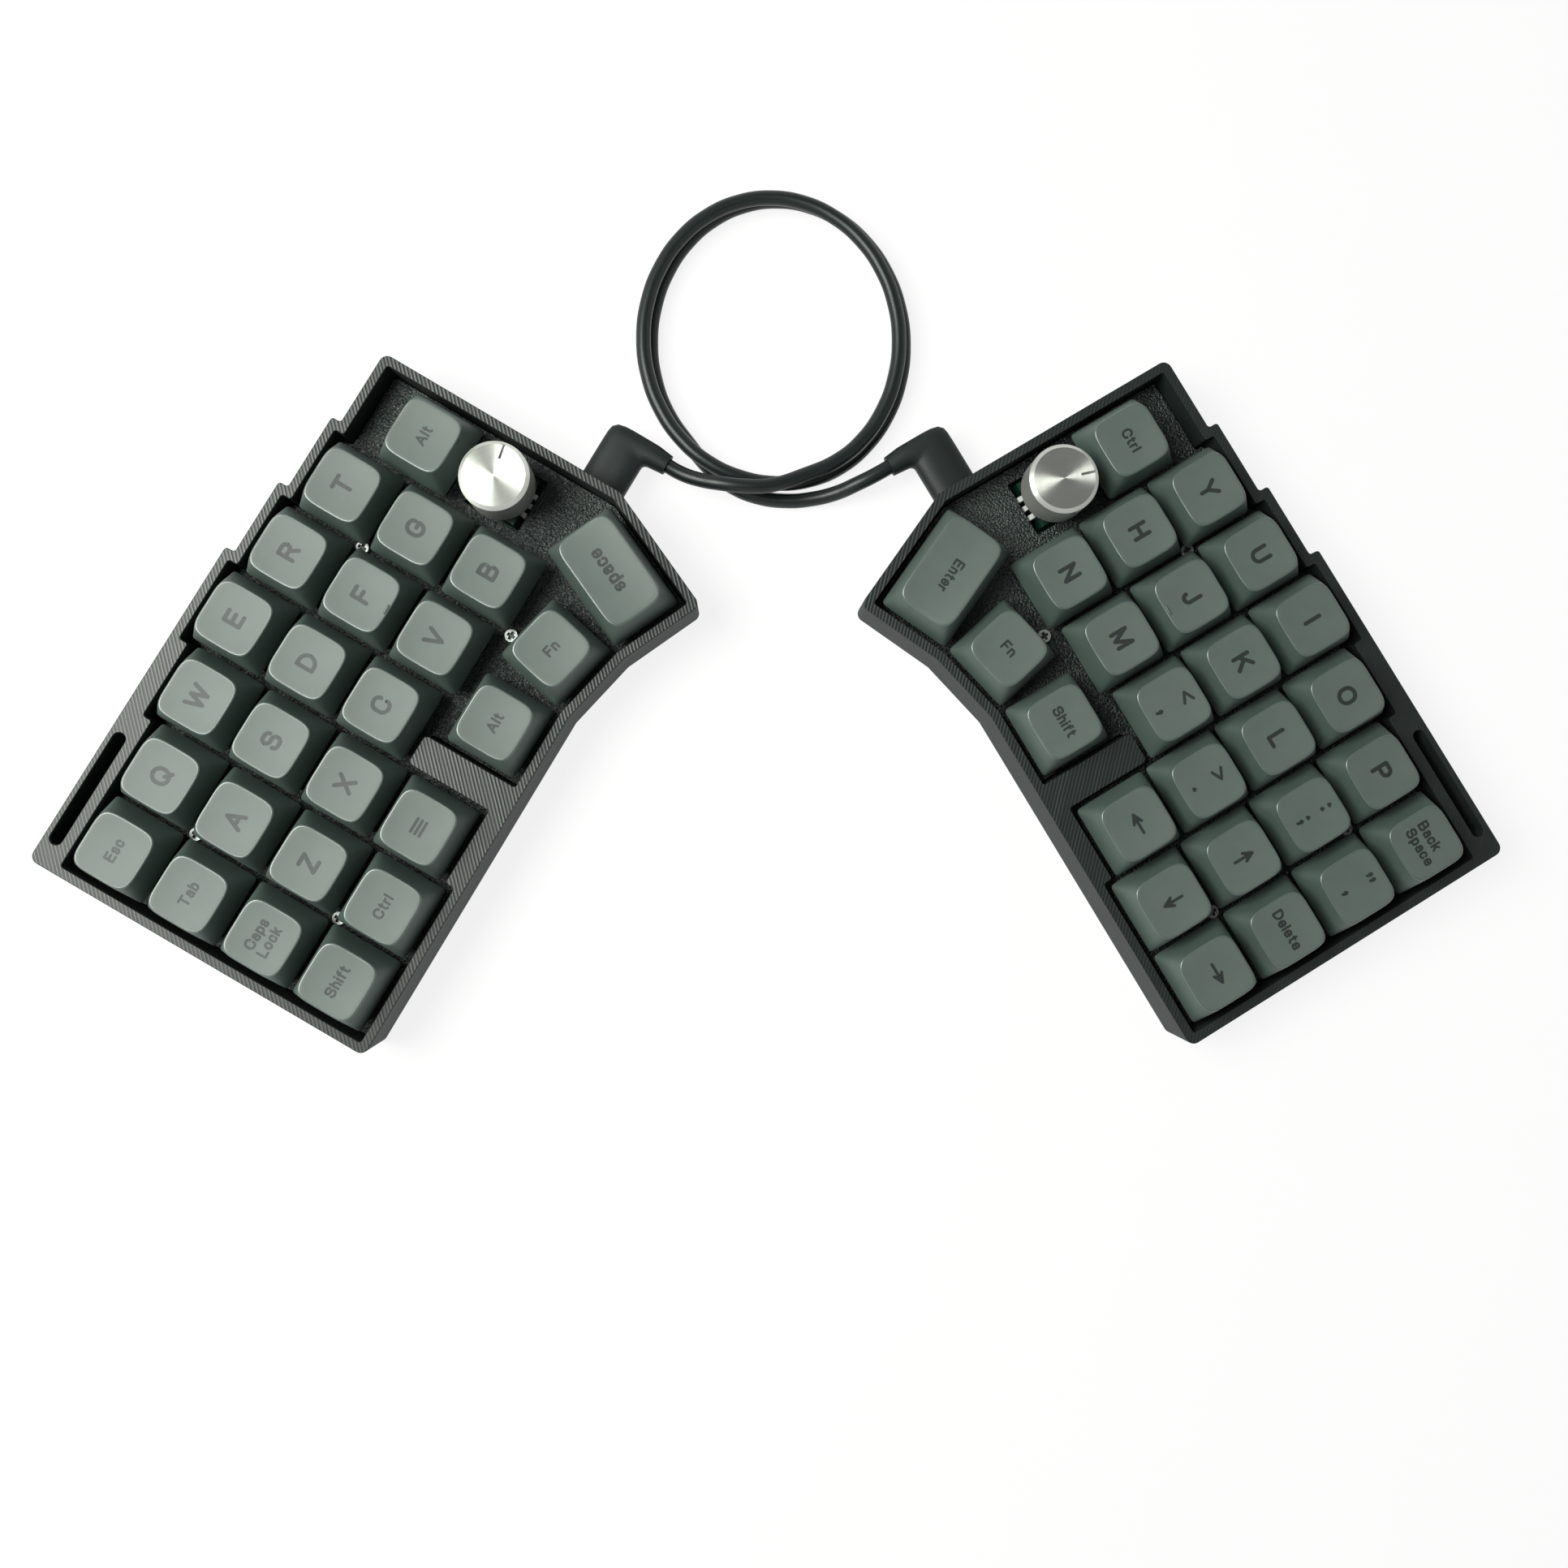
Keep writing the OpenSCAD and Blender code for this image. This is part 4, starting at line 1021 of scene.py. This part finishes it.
# Depths under the top of a screw or knob: of a screw's recess, of the top itself, and of a knob's chamfer
RECESS_DEPTH = 0.4 * MM
TOP_DEPTH = 0.1 * MM
KNOB_TOP_DEPTH = 1.0 * MM
# Rounding of a screw's head
HEAD_EDGE = 0.25 * MM


class KEYBOARD_OT_stage(bpy.types.Operator):
    """Sets the camera, the white floor, the soft lamp and the room light"""

    bl_idname = "keyboard.stage"
    bl_label = "Stage"

    def execute(self, context):
        scene = context.scene
        stage, colours = scene.keyboard_stage, scene.keyboard_colours
        lens = bpy.data.cameras.new("camera")
        lens.sensor_width = SENSOR
        lens.sensor_fit = "HORIZONTAL"
        lens.lens = stage.lens
        lens.shift_x, lens.shift_y = stage.shift
        lens.clip_start = NEAREST
        camera = linked("camera", lens)
        camera.location = stage.camera_place
        camera.rotation_euler = stage.camera_turn
        scene.camera = camera

        light = bpy.data.lights.new("soft_lamp", "AREA")
        light.shape = "DISK"
        light.size = stage.lamp_size
        light.energy = stage.lamp_power
        light.color = stage.lamp_colour
        lamp = linked("soft_lamp", light)
        lamp.location = stage.lamp_place
        lamp.rotation_euler = (-Vector(stage.lamp_place)).to_track_quat("-Z", "Y").to_euler()

        bm = bmesh.new()
        bmesh.ops.create_grid(bm, x_segments=8, y_segments=8, size=FLOOR_HALF)
        bmesh.ops.translate(bm, vec=(0, 0, -FLOOR_DROP), verts=bm.verts)
        mesh = bpy.data.meshes.new("floor")
        bm.to_mesh(mesh)
        bm.free()
        floor = linked("floor", mesh)
        mesh.materials.append(self.floor_material(colours))

        world = bpy.data.worlds.new("room")
        scene.world = world
        world.use_nodes = True
        tree = world.node_tree
        back = tree.nodes["Background"]
        back.inputs["Color"].default_value = (1, 1, 1, 1)
        towards = add_node(tree, "ShaderNodeTexCoord").outputs["Generated"]
        height = add_node(tree, "ShaderNodeSeparateXYZ", {0: towards}).outputs["Z"]
        backdrop = ranged(tree, height, 1.0, stage.ceiling, *CEILING_FADE)
        inputs = {0: self.seen_directly(tree), 2: stage.room_light, 3: backdrop}
        strength = add_node(tree, "ShaderNodeMix", inputs, data_type="FLOAT")
        tree.links.new(strength.outputs[0], back.inputs["Strength"])
        scene.view_settings.view_transform = "Standard"
        return {"FINISHED"}

    def seen_directly(self, tree):
        """1 for rays from the camera and those seen in metal or glass"""
        rays = add_node(tree, "ShaderNodeLightPath").outputs
        shiny = worked(tree, "MAXIMUM", rays["Is Camera Ray"], rays["Is Glossy Ray"])
        return worked(tree, "MAXIMUM", shiny, rays["Is Transmission Ray"])

    def floor_material(self, colours):
        """White paper that stays white and keeps a soft shadow"""
        made, tree, shader = new_material("white_floor", Roughness=0.9, Specular_IOR_Level=0.1)
        paper = noise(tree, object_coordinates(tree), grain=0.02)
        feed(tree, shader, Base_Color=tinted(tree, paper, *shades(colours.floor, 0.99, 1.01)))
        glow = add_node(tree, "ShaderNodeEmission", {"Color": (1, 1, 1, 1), "Strength": 1.0})
        share = worked(tree, "MULTIPLY", self.seen_directly(tree), FLOOR_GLOW)
        both = add_node(
            tree, "ShaderNodeMixShader", {0: share, 1: shader.outputs[0], 2: glow.outputs[0]}
        )
        tree.links.new(both.outputs[0], tree.nodes["Material Output"].inputs["Surface"])
        return made


class KEYBOARD_OT_cable(bpy.types.Operator):
    """Lays the link cable and puts a moulded plug on each end"""

    bl_idname = "keyboard.cable"
    bl_label = "Link cable"

    def execute(self, context):
        scene = context.scene
        sizes, colours = scene.keyboard_sizes, scene.keyboard_colours
        route = cable_route()
        curve = bpy.data.curves.new("link_cable_jacket", "CURVE")
        curve.dimensions = "3D"
        curve.bevel_depth = sizes.cable_diameter / 2
        curve.bevel_resolution = 4
        curve.resolution_u = 6
        curve.use_fill_caps = True
        spline = curve.splines.new("BEZIER")
        spline.bezier_points.add(len(route) - 1)
        for point, place in zip(spline.bezier_points, route):
            point.co = place
            point.handle_left_type = point.handle_right_type = "AUTO"
        cable = linked("link_cable_jacket", curve)
        curve.materials.append(grained("cable_jacket", colours.rubber, Specular_IOR_Level=0.35))
        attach(cable, STATIC_BODY)
        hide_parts("link_cable")

        bm = bmesh.new()
        for side in (0, 1):
            plug_shape(bm, sizes, side)
        moulded = grained("plug_moulding", colours.rubber, Specular_IOR_Level=0.3)
        mesh = finished_mesh(bm, "plug_pair", sharp=50.0)
        plugs = show(mesh, "plug_pair", STATIC_BODY, ["link_plugs"], [moulded])
        bpy.context.view_layer.update()
        return {"FINISHED"}


class KEYBOARD_OT_trays(bpy.types.Operator):
    """Finishes the two printed trays with rounded edges and print lines"""

    bl_idname = "keyboard.trays"
    bl_label = "Trays"

    def execute(self, context):
        sizes, colours = context.scene.keyboard_sizes, context.scene.keyboard_colours
        printed = [printed_material(sizes, colours, level) for level in (True, False)]

        def finish(rise, _depth):
            return int(abs(rise) < LEVEL)

        for node in ("left_case", "right_case"):
            tray = refinished(node, "_printed", STATIC_BODY, printed, 30.0, finish)
            round_edges(tray, "edges", sizes.tray_edge, segments=2, sharp=40.0)
        return {"FINISHED"}


class KEYBOARD_OT_inner(bpy.types.Operator):
    """Finishes the switch plates, the boards, the switch bodies and the plate screws"""

    bl_idname = "keyboard.inner"
    bl_label = "Plates, boards and switches"

    def execute(self, context):
        sizes, colours = context.scene.keyboard_sizes, context.scene.keyboard_colours
        coats = {
            "switch_plates": pebbled_material(colours),
            "circuit_boards": board_material(sizes, colours),
            "switch_housings": grained("switch_black", colours.switch, Specular_IOR_Level=0.5),
        }
        for node, coat in coats.items():
            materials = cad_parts[node].data.materials
            materials.clear()
            materials.append(coat)
        # Painted shade: the screws' cross recesses take the plated steel darkened to 0.15
        shadowed = shades(colours.steel, dark=0.15, light=1.0)[0]
        steel = grained("plated_steel", colours.steel, Metallic=0.8)
        recess = grained("screw_recess_painted_shade", shadowed, Metallic=1.0)

        def finish(rise, depth):
            if abs(rise) < WALL:
                return int(depth < RECESS_DEPTH)
            return int(rise > WALL and depth > TOP_DEPTH)

        finishes = [steel, recess]
        screws = refinished("plate_screws", "_plated", STATIC_BODY, finishes, 40.0, finish)
        round_edges(screws, "heads", HEAD_EDGE, segments=3, sharp=50.0)
        return {"FINISHED"}


class KEYBOARD_OT_caps(bpy.types.Operator):
    """Makes the fifty key caps with their legends, each on its own key"""

    bl_idname = "keyboard.caps"
    bl_label = "Key caps"

    def execute(self, context):
        sizes, colours = context.scene.keyboard_sizes, context.scene.keyboard_colours
        materials = [
            grained("cap_grey", colours.cap, Specular_IOR_Level=0.85),
            grained("legend_print", colours.legend, Specular_IOR_Level=0.5),
            grained("slider_plastic", colours.slider, Specular_IOR_Level=0.5),
            grained("cap_edge", colours.cap, Specular_IOR_Level=1.0),
            # Painted light: a paler copy of the caps' grey for the dished tops
            grained("cap_top_painted_light", colours.cap_top_painted_light, Specular_IOR_Level=0.48),
        ]
        for side, keys in enumerate((LEFT_KEYS, RIGHT_KEYS)):
            for name in keys:
                word = name.split("_")[-1].capitalize()
                make_cap(sizes, name, LEGENDS.get(name, [word]), side, materials)
        return {"FINISHED"}


class KEYBOARD_OT_knobs(bpy.types.Operator):
    """Finishes the two turned knobs"""

    bl_idname = "keyboard.knobs"
    bl_label = "Knobs"

    def execute(self, context):
        sizes, colours = context.scene.keyboard_sizes, context.scene.keyboard_colours
        # Painted shade: the knob's pointer groove takes the aluminium at half its brightness
        shadowed = shades(colours.metal, dark=0.5, light=1.0)[0]
        finishes = [
            turned_material(sizes, colours),
            grained("satin_aluminium", colours.metal, Metallic=0.8),
            grained("groove_painted_shade", shadowed, Metallic=1.0),
        ]

        def finish(rise, depth):
            if rise < WALL or depth > KNOB_TOP_DEPTH:
                return 1
            return 2 if rise > TOP and depth > TOP_DEPTH else 0

        for node, body in (("left_knob", "left_dial"), ("right_knob", "right_dial")):
            refinished(node, "_turned", body, finishes, 25.0, finish)
        return {"FINISHED"}


class KEYBOARD_PT_panel(bpy.types.Panel):
    """Lists the sizes, the colours and the steps of the keyboard"""

    bl_idname = "KEYBOARD_PT_panel"
    bl_label = "Split keyboard"
    bl_space_type = "VIEW_3D"
    bl_region_type = "UI"
    bl_category = "Keyboard"

    def draw(self, context):
        scene = context.scene
        for step in STEPS:
            self.layout.operator(step.bl_idname)
        for group in (scene.keyboard_sizes, scene.keyboard_colours, scene.keyboard_stage):
            box = self.layout.box()
            for name in group.__annotations__:
                box.prop(group, name)


GROUPS = (KeyboardSizes, KeyboardColours, KeyboardStage)
STEPS = (
    KEYBOARD_OT_stage,
    KEYBOARD_OT_cable,
    KEYBOARD_OT_trays,
    KEYBOARD_OT_inner,
    KEYBOARD_OT_caps,
    KEYBOARD_OT_knobs,
)
CLASSES = (*GROUPS, *STEPS, KEYBOARD_PT_panel)


def register():
    for made in CLASSES:
        bpy.utils.register_class(made)
    bpy.types.Scene.keyboard_sizes = bpy.props.PointerProperty(type=KeyboardSizes)
    bpy.types.Scene.keyboard_colours = bpy.props.PointerProperty(type=KeyboardColours)
    bpy.types.Scene.keyboard_stage = bpy.props.PointerProperty(type=KeyboardStage)


def unregister():
    del bpy.types.Scene.keyboard_sizes
    del bpy.types.Scene.keyboard_colours
    del bpy.types.Scene.keyboard_stage
    for made in reversed(CLASSES):
        bpy.utils.unregister_class(made)


def main():
    register()
    bpy.ops.keyboard.stage()
    bpy.ops.keyboard.cable()
    bpy.ops.keyboard.trays()
    bpy.ops.keyboard.inner()
    bpy.ops.keyboard.caps()
    bpy.ops.keyboard.knobs()


if __name__ == "__main__":
    main()
